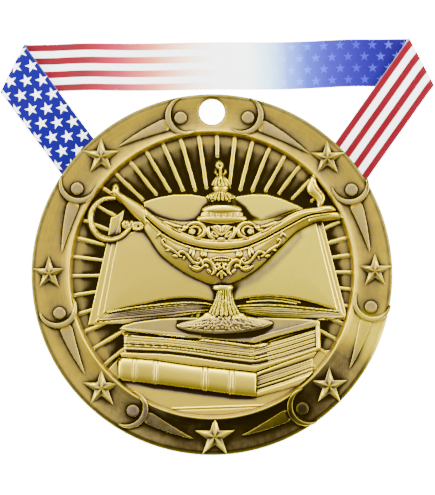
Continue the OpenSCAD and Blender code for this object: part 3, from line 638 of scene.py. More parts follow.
def draw_closed_books(r):
    """Two closed books on a flat ground, the lower one with its ribbed spine in front."""
    r.plate(sized(GROUND), 0.3, bevel=0.12)
    r.keep_ground()
    r.stroke(sized(curve_through([(172.5, 408.8), (200, 407.8), (230, 406.8), (267, 405.4)])), 0.2, 0.1)
    r.groove(sized(curve_through([(160, 410.6), (200, 409.4), (230, 408.4), (280, 406)])), 0.26, 0.07)
    whole_end = [COVER_TOP[k] for k in range(7, 16)]
    r.plate(sized(whole_end[::-1] + BLOCK_LOW), 0.78, bevel=0.1)
    r.plate(sized(BLOCK_TOP + BLOCK_LOW[::-1]), 0.98, bevel=0.12)
    corner = 17
    # The leaves of the upper book: broad uneven bands in front, finer ones at its open end
    for share, width, depth in ((0.12, 0.2, 0.07), (0.2, 0.14, 0.04), (0.3, 0.18, 0.09), (0.4, 0.14, 0.05),
                                (0.5, 0.24, 0.24), (0.6, 0.16, 0.05), (0.68, 0.16, 0.1), (0.9, 0.4, 0.26)):
        r.groove(sized(between(BLOCK_TOP, BLOCK_LOW, share)[:corner + 1]), width, depth)
    for k, (width, depth) in enumerate(((0.2, 0.08), (0.2, 0.16), (0.16, 0.05), (0.2, 0.18), (0.18, 0.07),
                                        (0.22, 0.2), (0.16, 0.06), (0.2, 0.14))):
        r.groove(sized(between(BLOCK_TOP[4:], BLOCK_LOW[4:], 0.08 + 0.118 * k)), width, depth)
    r.keep_ground()
    r.stroke(sized(between(BLOCK_TOP, BLOCK_LOW, 0.57)[:corner + 1]), 0.24, 0.07)
    r.stroke(sized(between(BLOCK_TOP, BLOCK_LOW, 0.76)[:corner + 1]), 0.2, 0.06)
    r.stroke(sized([(125.2, 335.6), (125, 352)]), 0.26, 0.16)
    r.plate(sized(COVER_TOP), 1.2, bevel=0.14)
    r.keep_ground()
    r.stroke(sized(curve_through(COVER_EDGE, 3)), 0.3, 0.5, flat=0.2, sink=0.05)
    front = [(254, 340.2), (272.4, 334.6), (294.3, 328.8), (314, 323.6)]
    r.stroke(sized(front), 0.55, 0.12, flat=0.4)
    r.stroke(sized([(124, 329.4), (162.6, 333.2), (200, 336.6)]), 0.3, 0.07, flat=0.4)
    r.plate(sized(BLOCK_END), 1.28, bevel=0.26)
    r.groove(sized([(318.3, 325), (318.7, 347)]), 0.16, 0.1)
    r.plate(sized(UNDER_COVER), 1.24, bevel=0.26)
    # Lower book
    r.plate(sized(FORE_TOP + FORE_LOW[::-1]), 0.84, bevel=0.1)
    for share, width, depth in ((0.1, 0.2, 0.14), (0.24, 0.14, 0.05), (0.36, 0.16, 0.1), (0.47, 0.14, 0.05),
                                (0.62, 0.22, 0.26), (0.82, 0.26, 0.3)):
        r.groove(sized(between(FORE_TOP, FORE_LOW, share)), width, depth)
    r.plate(sized(TOP_BOARD), 1.05, bevel=0.2)
    r.plate(sized(UNDER_BOARD), 1.0, bevel=0.2)
    top = between(SPINE_TOP, SPINE_LOW, 0, 60)
    low = between(SPINE_TOP, SPINE_LOW, 1, 60)
    outline = sized(np.concatenate([top, low[::-1]]))
    at, X, Y = r.window(outline, 0.4)
    t = np.linspace(0, 1, 60)
    a, b = sized(top), sized(low)
    share_x = (a[:, 0] + b[:, 0]) / 2
    high = np.interp(X, share_x, a[:, 1])
    deep = np.interp(X, share_x, b[:, 1])
    u = (Y - deep) / np.maximum(high - deep, 1e-3) * 2 - 1
    sd = outline_distance(X, Y, outline)
    end = np.interp(X, share_x, np.minimum(t * 26, 1))
    arch = np.sqrt(np.clip(1 - np.clip(np.abs(u), 0, 1) ** 2.6, 0, 1)) * (0.7 + 0.3 * np.sqrt(end))
    spine = 0.9 + 0.62 * arch
    r.h[at] = np.where(sd < 0, np.maximum(r.h[at], spine), r.h[at])
    # Bands round the spine, and a fine line on each side of them
    for x, half, rise in ((134.6, 0.34, 0.05), (155.4, 0.34, 0.1), (205, 0.46, 0.2), (231.6, 0.46, 0.2)):
        along = np.abs(X - sized([x, 0])[0] - 0.1 * u)
        band = rise * np.clip((half - along) / 0.16, 0, 1)
        line = 0.08 * np.exp(-((along - half - 0.14) / 0.09) ** 2)
        inside = sd < 0.12 * (along < half)
        raised = np.maximum(r.h[at], 0.9) + (band - line) * (along < half + 0.5)
        r.h[at] = np.where(inside, raised, r.h[at])
    r.keep_ground()
    r.stroke(sized([(255.8, 374), (255.9, 395.4)]), 0.16, 0.12)


def mirrored(points):
    """Points of the sheet on the other side of the lamp's middle line."""
    p = np.array(points, float)
    p[:, 0] = 2 * LAMP_X - p[:, 0]
    return p


def draw_scroll(r, row, steps, rise, wide=1.0, turn=np.array):
    """A bead along a row of X, Y and half the width, on the sheet."""
    line = curve_through(row, steps)
    r.stroke(sized(turn(line)[:, :2]), line[:, 2] * wide * SCALE, rise)


def draw_ornament(r, scrolls, curls, wide, rise, curl_rise, curl_wide):
    """Scrolls and curls on both sides of the lamp's middle line. Curls widen between two shares."""
    for turn in (np.array, mirrored):
        for row in scrolls:
            draw_scroll(r, row, 5, rise, wide, turn)
        for middle, start, end, a, turns, width in curls:
            line = curl(middle, start, end, a, turns)
            r.stroke(sized(turn(line)), np.linspace(*curl_wide, len(line)) * width * SCALE, curl_rise)


def draw_lamp(r):
    """The oil lamp: bowl, rim, lid, finial, handle, flame, stem and foot with their ornament."""
    # Handle ring and its scrolls
    ring = curve_through(HANDLE)
    r.keep_ground()
    r.stroke(sized(ring[:, :2]), ring[:, 2] * SCALE, 1.35, flat=0.1)
    inner = ring[18:-8, :2]
    r.groove(sized(inner + (HANDLE_MIDDLE - inner) * 0.05), 0.16, 0.2)
    # Notched leaves on the upper left of the ring
    for k in range(5):
        p = ring[5 + 3 * k, :2]
        q = ring[7 + 3 * k, :2]
        r.groove(sized([p, q + (HANDLE_MIDDLE - q) * 0.1]), 0.14, 0.2)
    r.under = np.zeros_like(r.h)
    line = curl((125.9, 224.6), 3.2, 0.8, 330, 1.2)
    r.stroke(sized([(125.9, 224.6), (126.1, 224.6)]), 4.4 * SCALE, 1.3, flat=0.5)
    r.stroke(sized(line), 1.35 * SCALE, 1.6, flat=0.1)
    # The second scroll is a rosette with a hole, lumpy round its edge
    r.stroke(sized([(135.4, 226), (139.6, 226)]), 4.5 * SCALE, 1.35, flat=0.6)
    for k in range(9):
        a = 2 * math.pi * k / 9
        spot = np.array([137.4 + 5.3 * math.cos(a), 226 + 3.2 * math.sin(a)])
        r.stroke(sized([spot, spot + [0.2, 0]]), 1.75 * SCALE, 1.62)
    r.groove(sized([(138, 226.3), (138.6, 226.3)]), 0.3, 0.9)
    r.groove(sized([(131, 223.6), (130.8, 228)]), 0.16, 0.3)
    # Bowl
    rim, body = curve_through(RIM_TOP, 3), curve_through(BODY_LOW, 3)
    outline = sized(np.concatenate([rim, LIP_TOP[2:], body[::-1]]))
    r.plate(outline, 1.1, bevel=0.5, slope=6, crown=0.95, crown_reach=5)
    # Thumb-piece, with a pierced knob
    thumb = sized(curve_through(THUMB, 3, closed=True))
    r.plate(thumb, 1.45, bevel=0.5, slope=6, crown=0.4, crown_reach=1.1)
    r.groove(sized([(121.6, 195.8), (131, 202.4), (142, 209.8)]), 0.2, 0.1)
    r.groove(sized([(115.9, 187.6), (116.1, 188.8)]), 0.3, 0.55)
    r.stroke(sized([(110, 193.2), (111.4, 192)]), 1.3 * SCALE, 1.4)
    # Recess under the lid, then the rim's broad band and its two mouldings
    at, X, Y = r.window(sized(LID_GROUND), 0.2)
    sd = outline_distance(X, Y, sized(LID_GROUND))
    r.h[at] = np.where(sd < 0.1, 1.2 + 0.2 * np.clip(-sd / 3, 0, 1), r.h[at])
    upper, edge = curve_through(RIM_TOP, 4), curve_through(RIM_LOW, 4)
    r.plate(sized(np.concatenate([upper, edge[::-1]])), 1.95, bevel=0.42, slope=7, crown=0.14, crown_reach=1)
    r.groove(sized(upper[3:-10] + [0.5, 2.2]), 0.2, 0.16)
    # A dark groove parts the band from the bowl's own lip, which ends in the spout
    r.groove(sized(edge[1:] + [0, 0.7]), 0.3, 0.5)
    r.keep_ground()
    r.stroke(sized(edge[2:-6] + [0, 2.3]), 0.34, 0.24)
    r.stroke(sized(curve_through(LIP_TOP, 4) + [0, 1.2]), 0.34, 0.3)
    r.under = np.zeros_like(r.h)
    r.plate(sized(curve_through(LIP, 3, closed=True)), 1.62, bevel=0.36, slope=7, crown=0.1, crown_reach=0.8)
    # Ornament of the bowl
    r.keep_ground()
    draw_ornament(r, BOWL_SCROLLS, BOWL_CURLS, 1.3, 0.46, 0.48, (0.8, 1.4))
    for y, left, right, count, radius in BOWL_BEADS:
        for x in np.linspace(left, right, count):
            r.stroke(sized([(x, y), (x + 0.2, y)]), radius * SCALE, 0.4)
    for k in range(-5, 6):
        spot = np.array([LAMP_X + 2.05 * k, 256.4 + 0.1 * k * k])
        r.stroke(sized([spot, spot + [0.1, 0]]), 1.15 * SCALE, 0.36)
    for tip, width in (((217.6, 275), 1.3), ((221.6, 277.4), 1.6), ((225.4, 275), 1.3)):
        draw_scroll(r, [(LAMP_X, 270.4, 0.8), ((LAMP_X + tip[0]) / 2, (271 + tip[1]) / 2, width),
                        (tip[0], tip[1], width), (tip[0], tip[1] + 0.8, 0.7)], 4, 0.42)
    # Ornament under the lid
    draw_ornament(r, LID_SCROLLS, LID_CURLS, 1.45, 0.5, 0.6, (0.9, 1.5))
    for row in ([(262, 217.8, 0.4), (270, 215.4, 1.3), (280, 211.4, 1.2), (290, 208.6, 0.5)],
                [(274, 218.8, 0.4), (284, 214.2, 1.3), (294, 210.6, 1), (302, 208.6, 0.4)],
                [(218.6, 239, 1.6), (221.4, 238.6, 1.8), (224.2, 239, 1.6)]):
        draw_scroll(r, row, 5, 0.5)
    r.plate(sized(PALMETTE), 1.8, bevel=0.3, slope=6, crown=0.12, crown_reach=1)
    for x in (212.6, 216.8, LAMP_X, 226, 230.2):
        foot = (x, 226.6 - abs(x - LAMP_X) * 0.05)
        r.groove(sized([(LAMP_X + (x - LAMP_X) * 0.2, 233.6), foot]), 0.18, 0.22)

    # Lid and finial, from the brim up
    def rows(points):
        p = np.array(points, float)
        left = sized(p[:, [1, 0]])
        right = sized(p[:, [2, 0]])
        return np.stack([left[:, 1], left[:, 0], right[:, 0]], 1)

    def flutes(points, count, base, rise, bulge, start=28.0):
        """Rounded ribs side by side round a turned form, narrower at its sides and longer in front."""
        r.under = np.zeros_like(r.h)
        turn = np.radians(start + (180 - 2 * start) * np.arange(count + 1) / count)
        share = 0.5 - 0.5 * np.cos(turn) / math.cos(turn[0])
        last = len(points) - 1
        for k in range(count):
            c = (share[k] + share[k + 1]) / 2
            line = [(a + (b - a) * c, y + bulge * 4 * c * (1 - c) * i / last)
                    for i, (y, a, b) in enumerate(points)]
            half = [(b - a) * (share[k + 1] - share[k]) * 0.52 * SCALE for y, a, b in points]
            r.stroke(sized(line), half, base + rise * math.sqrt(4 * c * (1 - c)), flat=0.22)

    r.turned(rows(FOLD_ROWS), 0.85, base=1.1)
    for x in range(206, 238, 6):
        hem = [(x - 3, 214), (x - 2.4, 216.6), (x, 217.8), (x + 2.4, 216.6), (x + 3, 214)]
        r.groove(sized(curve_through(hem)), 0.24, 0.1)
    r.turned(rows(BRIM_ROWS), 1.1, base=1.1)
    r.turned(rows(TIER_ROWS), 1.0, base=1.25)
    r.turned(rows(NECK_ROWS), 0.55, base=0.8)
    r.turned(rows(SKIRT_ROWS), 0.6, base=0.8)
    flutes(SKIRT_ROWS, 10, 0.9, 1.15, 1.9, 18)
    r.turned(rows(CUP_ROWS), 0.95, base=0.8)
    r.turned(rows(BELL_ROWS), 0.5, base=0.7)
    flutes(BELL_ROWS, 6, 0.8, 1.1, 1.3)
    for side in (-1, 1):
        r.stroke(sized([(220.5 + 3 * side, 174.8), (220.5 + 5 * side, 172.6), (220.5 + 4.7 * side, 170)]),
                 [0.26, 0.28, 0.2], 1.5)
    r.stroke(sized([(220.4, 168), (220.5, 177)]), 1.8 * SCALE, 1.75, flat=0.2)
    r.stroke(sized([(219.5, 165.4), (219.7, 165.4)]), 4.3 * SCALE, 1.7, flat=0.35)
    r.groove(sized([(219.7, 165.9), (219.8, 166.1)]), 0.32, 1.0)
    # Flame
    flame = sized(curve_through(FLAME, 4, closed=True))
    r.plate(flame, 1.45, bevel=0.26, slope=6, crown=0.3, crown_reach=1.3)
    tongue = [(313.6, 182.6), (314.8, 187.3), (319.1, 191.8), (322.4, 197), (321.4, 201.4)]
    r.groove(sized(curve_through(tongue)), 0.2, 0.34)
    # Foot, leaf by leaf, and the fluted stem on it
    foot = sized(curve_through(FOOT, 3, closed=True))
    r.plate(foot, 1.4, bevel=0.3, slope=6, crown=0.5, crown_reach=3)
    r.keep_ground()
    seeded = np.random.default_rng(7)
    for level, (y, spread, long) in enumerate(((316.6, 15, 3.4), (319.4, 24, 3.6), (322.4, 33, 3.8),
                                               (325.4, 39, 3.6), (328.2, 36, 2.8))):
        for x in np.arange(-spread, spread + 0.1, 3.5) + (level % 2) * 1.7:
            spot = np.array([223.6 + x, y]) + seeded.uniform(-0.9, 0.9, 2) * [1, 0.5]
            edge = outline_distance(*[np.array([v]) for v in sized(spot)], foot)[0]
            if edge > -0.62:
                continue
            fan = math.atan2(spot[1] - 298, spot[0] - 224) + seeded.uniform(-0.75, 0.75)
            way = np.array([math.cos(fan), math.sin(fan) * 0.55]) * long * seeded.uniform(0.8, 1.25)
            bend = np.array([-way[1], way[0]]) * seeded.uniform(-0.5, 0.5)
            ends = sized(np.array([spot - way, spot + way]))
            if outline_distance(ends[:, 0], ends[:, 1], foot).max() > -0.12:
                continue
            row = [(*(spot - way), 0.4), (*(spot + bend), 1.25), (*(spot + way), 0.4)]
            draw_scroll(r, row, 4, 0.14 + 0.06 * seeded.random())
    lip = curve_through([(177.4, 325.6), (184, 328.8), (196, 331), (222, 332.2), (248, 330.2), (264, 326.8),
                         (271.6, 323)], 4)
    r.stroke(sized(lip), 0.38, 0.14, flat=0.4)
    r.turned(rows(STEM_ROWS), 0.5, base=1.1)
    flutes(STEM_ROWS, 8, 1.4, 0.85, 1.9)
    r.turned(rows(COLLAR_ROWS), 0.95, base=1.35)


STARS = [((49, 273.6), 17.4), ((375.1, 271.1), 17.5), ((101.1, 156.7), 19), ((327.3, 158.2), 18.2),
         ((101.5, 388.6), 19.6), ((329.3, 386.2), 19.3), ((214.8, 437), 20.9)]
# A row is the head's middle and the tip of the foot, on the sheet
FIGURES = [((180.6, 117.9), (118.3, 146.7)), ((77.1, 188.6), (61.7, 253.3)), ((59.5, 313.2), (85, 374.5)),
           ((132.9, 410.8), (193.6, 438.9)), ((248, 117.6), (309, 153.3)), ((351.5, 189.8), (370, 252.3)),
           ((371, 307), (349.5, 368.8)), ((302.4, 408.6), (241.5, 435.7))]
RAY_HUB = tuple(sized([219, 274]))
# The middle ray's direction and the step to the next ray, in degrees
RAY_TURN, RAY_STEP = 90.8, 7.5
RAY_NUMBERS = range(-19, 19)

# The disc's outline from its middle in front to its middle behind. A row is radius and height
DISC_FRONT = [(29.0, FIELD_Z), (29.3, FIELD_Z), (29.46, FIELD_Z + 0.07), (29.6, FIELD_Z + 0.26),
              (29.76, FIELD_Z + 0.56), (29.92, FIELD_Z + 0.84), (30.06, BORDER_Z + 0.13),
              (30.18, BORDER_Z + 0.26), (30.32, BORDER_Z + 0.31), (30.46, BORDER_Z + 0.28),
              (30.64, BORDER_Z + 0.2), (30.9, BORDER_Z + 0.1), (31.35, BORDER_Z), (32.0, BORDER_Z - 0.08),
              (33.0, BORDER_Z - 0.14), (34.2, BORDER_Z - 0.16), (35.2, BORDER_Z - 0.14),
              (36.1, BORDER_Z - 0.08), (36.8, BORDER_Z - 0.02), (37.2, BORDER_Z), (37.5, BORDER_Z - 0.02),
              (37.76, BORDER_Z - 0.09), (37.96, BORDER_Z - 0.22), (38.07, BORDER_Z - 0.4),
              (MEDAL_R, BORDER_Z - 0.6)]
DISC_BACK = [(MEDAL_R, BACK_Z + 0.6), (38.06, BACK_Z + 0.36), (37.94, BACK_Z + 0.18), (37.74, BACK_Z + 0.06),
             (37.4, BACK_Z), (36.0, BACK_Z), (34.0, BACK_Z), (32.0, BACK_Z), (30.6, BACK_Z),
             (30.3, BACK_Z + 0.04), (30.12, BACK_Z + 0.14), (30.02, BACK_Z + 0.32), (30.0, BACK_Z + 0.6),
             (30.0, RECESS_Z - 0.6), (29.94, RECESS_Z - 0.3), (29.78, RECESS_Z - 0.1),
             (29.5, RECESS_Z), (28.5, RECESS_Z)]
FIELD_RINGS = [27, 24, 20, 15, 10, 5]

# Maps that have been drawn
made = {}


def disc_height(radius):
    """Height of the disc's face at a radius."""
    rows = [(0, FIELD_Z)] + DISC_FRONT
    return np.interp(radius, [r for r, _ in rows], [z for _, z in rows])


def finer(rows, step):
    """The same outline with no piece longer than the step."""
    out = [rows[0]]
    for a, b in zip(rows, rows[1:]):
        n = max(1, math.ceil(math.hypot(b[0] - a[0], b[1] - a[1]) / step))
        out += [(a[0] + (b[0] - a[0]) * k / n, a[1] + (b[1] - a[1]) * k / n) for k in range(1, n + 1)]
    return out


def figure_lines(head, foot):
    """Head, crescent of the arms and body of a figure on the border, in millimetres."""
    head, foot = sized(head), sized(foot)
    up = (head - foot) / np.linalg.norm(head - foot)
    side = np.array([up[1], -up[0]])
    turn = np.radians(np.linspace(-188, 8, 45))
    mid = 3.8
    arc = head + np.outer(np.cos(turn) * mid, side) + np.outer(1.25 + np.sin(turn) * mid, up)
    half = 0.06 + 0.52 * np.sin(np.linspace(0, math.pi, 45)) ** 0.8
    # The body bends with the border
    t = np.linspace(0, 1, 16)
    start = head - up * 3.72
    straight = start + np.outer(t, foot - start)
    far = np.linalg.norm(straight, axis=1)
    target = np.interp(t, [0, 1], [far[0], far[-1]])
    body = straight * (1 + 0.5 * (target / far - 1))[:, None]
    body_half = np.interp(t, [0, 0.12, 0.5, 1], [1.28, 1.2, 0.76, 0.05])
    return head, arc, half, body, body_half


def ray_span(a):
    """Where a ray starts and ends, measured from the hub: over the pages, and just inside the ridge."""
    lean = abs(math.degrees(a) - 90)
    first = float(np.interp(lean, [0, 16, 22, 30, 38, 46], [18.5, 18.5, 19.1, 20.3, 21.5, 22.6]))
    if 138 < math.degrees(a) < 172 or 35 < math.degrees(a) < 42 or lean < 3:
        first = 25
    x, y = RAY_HUB
    along = x * math.cos(a) + y * math.sin(a)
    last = -along + math.sqrt(along * along + 29.2 ** 2 - x * x - y * y)
    return first, last


def draw_border(r):
    """Coarse stars, figures and rays, which only steer the darkened hollows and the painted shade round them.
    """
    for middle, size in STARS:
        turn = np.radians(90 + 36 * np.arange(10))
        reach = np.where(np.arange(10) % 2 == 0, size, size * 0.385) * MEDAL_R / SHEET_R
        c = sized(middle)
        outline = c + np.stack([np.cos(turn) * reach, np.sin(turn) * reach], 1)
        r.plate(outline, BORDER_Z + 0.1, bevel=0.1, slope=4, crown=0.6, crown_reach=1.6)
    r.keep_ground()
    for head, foot in FIGURES:
        c, arc, half, body, body_half = figure_lines(head, foot)
        r.stroke(arc, half, 0.5, flat=0.4)
        r.stroke(body, body_half, 0.45, flat=0.4)
        r.stroke([c, c + 0.01], 1.27, 0.5, flat=0.4)
    for k in RAY_NUMBERS:
        a = math.radians(RAY_TURN + RAY_STEP * k)
        way = np.array([math.cos(a), math.sin(a)])
        hub = np.array(RAY_HUB)
        first, last = ray_span(a)
        r.stroke([hub + way * first, hub + way * last], 0.42, 0.4, flat=0.4)


def drawn_maps():
    """The fine maps of the books and the lamp, and one map of the whole face for the darkened hollows, the
    rubbed edges, the painted shade and the painted highlights.
    """
    if made:
        return made
    pitch = 0.05
    parts = []
    for name, low, high, draw in (("open_book", (-27.4, -11.6), (29.4, 17.9), draw_open_book),
                                  ("closed_books", (-29.8, -29.8), (29.8, -8), draw_closed_books),
                                  ("lamp", (-27.2, -13.2), (29.2, 25.2), draw_lamp)):
        part = Relief(low, high, pitch, 0)
        draw(part)
        made[name] = part
        parts.append(part)
    whole = Relief((-38.4, -38.4), (38.4, 38.4), FACE_PITCH, 0)
    X, Y = whole.grid()
    radius = np.hypot(X, Y)
    whole.h[:] = disc_height(radius)
    draw_border(whole)
    for part in parts:
        at, px, py = whole.window(np.array([part.low, part.high]), 0)
        inside = (np.hypot(px, py) < RELIEF_R) & (px < part.high[0]) & (py < part.high[1])
        inside &= (px > part.low[0]) & (py > part.low[1])
        z = part.at(px, py) + FIELD_Z
        whole.h[at] = np.where(inside, np.maximum(whole.h[at], z), whole.h[at])
    made["whole"] = whole
    h = whole.h
    for name, reach in (("close", 0.14), ("near", 0.45), ("far", 1.3)):
        made[name] = blurred(h, FACE_PITCH, reach) - h
    # Painted cast shadow: on the side of a raised edge away from the light, the surface is darkened
    cast_shadow = np.zeros_like(h)
    for k in range(2, 11, 2):
        step = np.zeros_like(h)
        step[:-k] = h[k:]
        cast_shadow = np.maximum(cast_shadow, np.clip(step - h - 0.06 * k, 0, 0.7))
    made["cast_shadow"] = blurred(cast_shadow, FACE_PITCH, 0.15)
    lamp = made["lamp"]
    at, px, py = whole.window(np.array([lamp.low, lamp.high]), 0)
    mask = np.zeros_like(h)
    mask[at] = lamp.at(px, py) > 0.3
    made["tone"] = painted_shade_map(X, Y, radius)
    # Painted shade round the lamp, on the pages and the field beside it
    made["halo"] = 0.55 * blurred(mask, FACE_PITCH, 0.9)
    # Painted highlights on the right page, in a pool of light on the pages, on the spine and on the right
    # leaves, kept out of the painted shadows and the painted shade round the lamp
    made["shine"] = np.zeros_like(h)
    for outline, amount, soft in ((RIGHT_PAGE, 0.55, 0.3), (PAGE_GLOW, 0.35, 2.4),
                                  (SPINE_TOP + SPINE_LOW[::-1], 0.14, 0.3),
                                  (RIGHT_LEAF + RIGHT_LOW[::-1], 0.15, 0.3)):
        made["shine"] += amount * (1 - mask) * soft_area(X, Y, outline, soft)
    for outline, soft in ((BOWL_SHADOW, 1.6), (LID_SHADOW, 0.8)):
        made["shine"] *= 1 - soft_area(X, Y, outline, soft)
    made["shine"] *= 1 - np.clip(2.4 * made["halo"], 0, 1)
    # A painted highlight streaks the border at the right, a little below the middle
    apart = np.abs(np.degrees(np.arctan2(Y, X)) + 20)
    made["shine"] += 0.4 * ease((radius - 30.6) / 1.5) * (1 - ease(apart / 12))
    # Meshes are finer where the darkening with its painted shade changes, too
    made["shade"] = patina_and_painted_light(X, Y, h)[0].astype(np.float32)
    for part in parts:
        part.shade = whole.at(*part.grid(), made["shade"])
    return made


def on_border(radius):
    """One on the border and zero on the field, with a soft step at the ridge."""
    return ease((radius - 29.9) / 0.4)


def painted_shade_map(X, Y, radius):
    """Broad painted shade, whatever the shape there: cast shadows of the bowl, the lid, the spine and the
    foot, shade round the foot, in the gaps under the pages and on the bowl's lower body, some book faces and
    the ground darker, and the border darker, most towards the bottom and at its outer edge, less in a painted
    highlight at the right.
    """
    tone = np.zeros(X.shape, np.float32)
    for outline, amount, soft in (
            (COVER_TOP, 0.36, 0.2), (BLOCK_TOP + BLOCK_LOW[::-1], 0.2, 0.2), (BODY_SHADE, 0.2, 0.9),
            (BOWL_SHADOW, 0.36, 1.6), (SPINE_SHADOW, 0.4, 0.8), (SPINE_TOP[:3] + SPINE_LOW[2::-1], 0.16, 1.2),
            (LID_SHADOW, 0.8, 0.8), (FORE_TOP + FORE_LOW[::-1], 0.16, 0.2), (UNDER_COVER, 0.12, 0.2),
            (COVER_PIECE, 0.2, 0.2), (FOOT_SHADOW, 0.6, 0.5), (GROUND, 0.05, 0.2),
            (LEFT_EDGE + LEFT_LEAF[::-1], 0.9, 0.12), (RIGHT_EDGE + RIGHT_LEAF[::-1], 0.6, 0.12),
            (LEFT_LEAF[1:] + LEFT_LOW[::-1], 0.5, 0.5), (RIGHT_LEAF + RIGHT_LOW[::-1], 0.5, 0.5),
            (UNDER_FOOT, 0.6, 0.3)):
        tone += amount * soft_area(X, Y, outline, soft)
    # The border: darker overall, with painted shade towards the bottom and at the outer edge, and a painted
    # highlight that lightens it at the right, a little below the middle
    turn = np.degrees(np.arctan2(Y, X))
    border = on_border(radius)
    apart = np.abs((turn - 283 + 180) % 360 - 180)
    low = 1 - ease((apart - 12) / 48)
    inner = 1 - ease((radius - 31) / 5)
    tone += border * (0.355 + 0.36 * low * (0.8 + 0.2 * inner) + 0.3 * ease((radius - 37.0) / 0.6))
    tone -= border * 0.22 * (1 - ease(np.abs(turn + 20) / 12))
    return tone


def patina_and_painted_light(x, y, z):
    """How dark and how bright a spot of the face is: dirt in the hollows and painted shade, rubbed edges and
    painted highlights, from the shape around it and from broad painted areas.
    """
    maps = drawn_maps()
    whole = maps["whole"]
    close, near, far, cast_shadow = (whole.at(x, y, maps[name]) for name in ("close", "near", "far", "cast_shadow"))
    radius = np.hypot(x, y)
    low = np.clip((FIELD_Z + 0.22 - z) / 0.2, 0, 1) * (radius < FIELD_R) * (z > RECESS_Z + 0.5)
    # Dark hollows, and the painted cast shadow beside raised edges
    grime_and_shade = 5.0 * np.clip(close, 0, 1) + 2.6 * np.clip(near, 0, 1) + 1.5 * np.clip(far, 0, 1) + 0.55 * cast_shadow
    # The ridge darkens nothing inward, and the border's figures only a little
    calm = 1 - 0.74 * ease((radius - 26.6) / 1.4) * (1 - on_border(radius))
    calm *= 1 - 0.38 * ease((radius - 30.2) / 0.3)
    # Painted shade round the lamp, on the low surfaces only
    halo = whole.at(x, y, maps["halo"]) * (z < FIELD_Z + 1.0)
    grime_and_shade = 0.8 * grime_and_shade * calm + low * (0.62 - 0.26 * ease((radius - 23) / 6)) + halo
    # Broad painted shade and darker areas
    grime_and_shade = grime_and_shade + whole.at(x, y, maps["tone"])
    # Rubbed raised edges, and the painted highlights
    wear_and_highlight = 4.0 * np.clip(-close, 0, 1) + 1.1 * np.clip(-near, 0, 1) + whole.at(x, y, maps["shine"])
    return np.clip(grime_and_shade, 0, 1), np.clip(wear_and_highlight, 0, 1)


def store(mesh, name, values, domain="POINT"):
    """Stores one value on each point, or each face, of a mesh."""
    layer = mesh.attributes.get(name) or mesh.attributes.new(name, "FLOAT", domain)
    layer.data.foreach_set("value", np.asarray(values, np.float32))


def stored(mesh, name):
    """The values that are stored on a mesh's points."""
    values = np.empty(len(mesh.vertices))
    mesh.attributes[name].data.foreach_get("value", values)
    return values


def places(mesh):
    """Places of a mesh's points, in metres."""
    co = np.empty(len(mesh.vertices) * 3)
    mesh.vertices.foreach_get("co", co)
    return co.reshape(-1, 3)


def age(mesh, base=0.0, share=1.0):
    """Stores on a mesh's points how dark they are, painted shade included, and how bright, painted highlights
    included.
    """
    p = (places(mesh) - [*MIDDLE, 0]) / MM
    grime_and_shade, wear_and_highlight = patina_and_painted_light(p[:, 0], p[:, 1], p[:, 2])
    behind = p[:, 2] < BORDER_Z - 1.6
    on_face = np.hypot(p[:, 0], p[:, 1]) < 29.7
    grime_and_shade = np.where(behind & ~(on_face & (p[:, 2] > FIELD_Z - 0.4)), 0.12, grime_and_shade)
    store(mesh, "grime_and_shade", np.clip(grime_and_shade * share + base, 0, 1))
    store(mesh, "wear_and_highlight", wear_and_highlight)


def added(name, data):
    """A new object in the scene, at the origin."""
    obj = bpy.data.objects.new(name, data)
    bpy.context.scene.collection.objects.link(obj)
    return obj


def placed(name, mesh, material):
    """A finished object with one material."""
    obj = added(name, mesh)
    mesh.materials.clear()
    mesh.materials.append(material)
    return obj


def lathe(rows, segments):
    """A mesh turned round the medal's middle, given from the front to the back."""
    turn = np.linspace(0, 2 * math.pi, segments, endpoint=False)
    rings = np.asarray(rows, float)
    x = rings[:, :1] * np.cos(turn)
    y = rings[:, :1] * np.sin(turn)
    z = np.repeat(rings[:, 1:], segments, axis=1)
    verts = np.stack([x, y, z], 2).reshape(-1, 3)
    faces = []
    for i in range(len(rings) - 1):
        a, b = i * segments, (i + 1) * segments
        for k in range(segments):
            n = (k + 1) % segments
            faces.append((a + n, a + k, b + k, b + n))
    first, last = len(verts), len(verts) + 1
    verts = np.concatenate([verts, [[0, 0, rings[0, 1]], [0, 0, rings[-1, 1]]]])
    base = (len(rings) - 1) * segments
    for k in range(segments):
        n = (k + 1) % segments
        faces.append((first, k, n))
        faces.append((last, base + n, base + k))
    mesh = bpy.data.meshes.new("lathe")
    mesh.from_pydata(in_frame(verts), [], faces)
    return mesh


def tidy_mesh(mesh, merge=SAME_POINT):
    """Merges doubles, unless merge is zero, and turns every face outwards."""
    bm = bmesh.new()
    bm.from_mesh(mesh)
    if merge:
        bmesh.ops.remove_doubles(bm, verts=bm.verts, dist=merge)
    bmesh.ops.recalc_face_normals(bm, faces=bm.faces)
    bm.to_mesh(mesh)
    bm.free()


def smooth(mesh, degrees):
    """Smooth shading that keeps the edges above an angle."""
    mesh.shade_smooth()
    mesh.set_sharp_from_angle(angle=math.radians(degrees))


def baked(obj, name):
    """A new object with the modifiers of the old one applied, and the old one removed."""
    graph = bpy.context.evaluated_depsgraph_get()
    mesh = bpy.data.meshes.new_from_object(obj.evaluated_get(graph))
    mesh.name = name
    bpy.data.objects.remove(obj)
    return added(name, mesh)


def tube_faces(rings, count):
    """Faces between rings of points, and a cap at both ends."""
    faces = []
    for i in range(rings - 1):
        for k in range(count):
            a, b = i * count + k, i * count + (k + 1) % count
            faces.append((a, b, b + count, a + count))
    faces.append(tuple(range(count))[::-1])
    faces.append(tuple((rings - 1) * count + k for k in range(count)))
    return faces


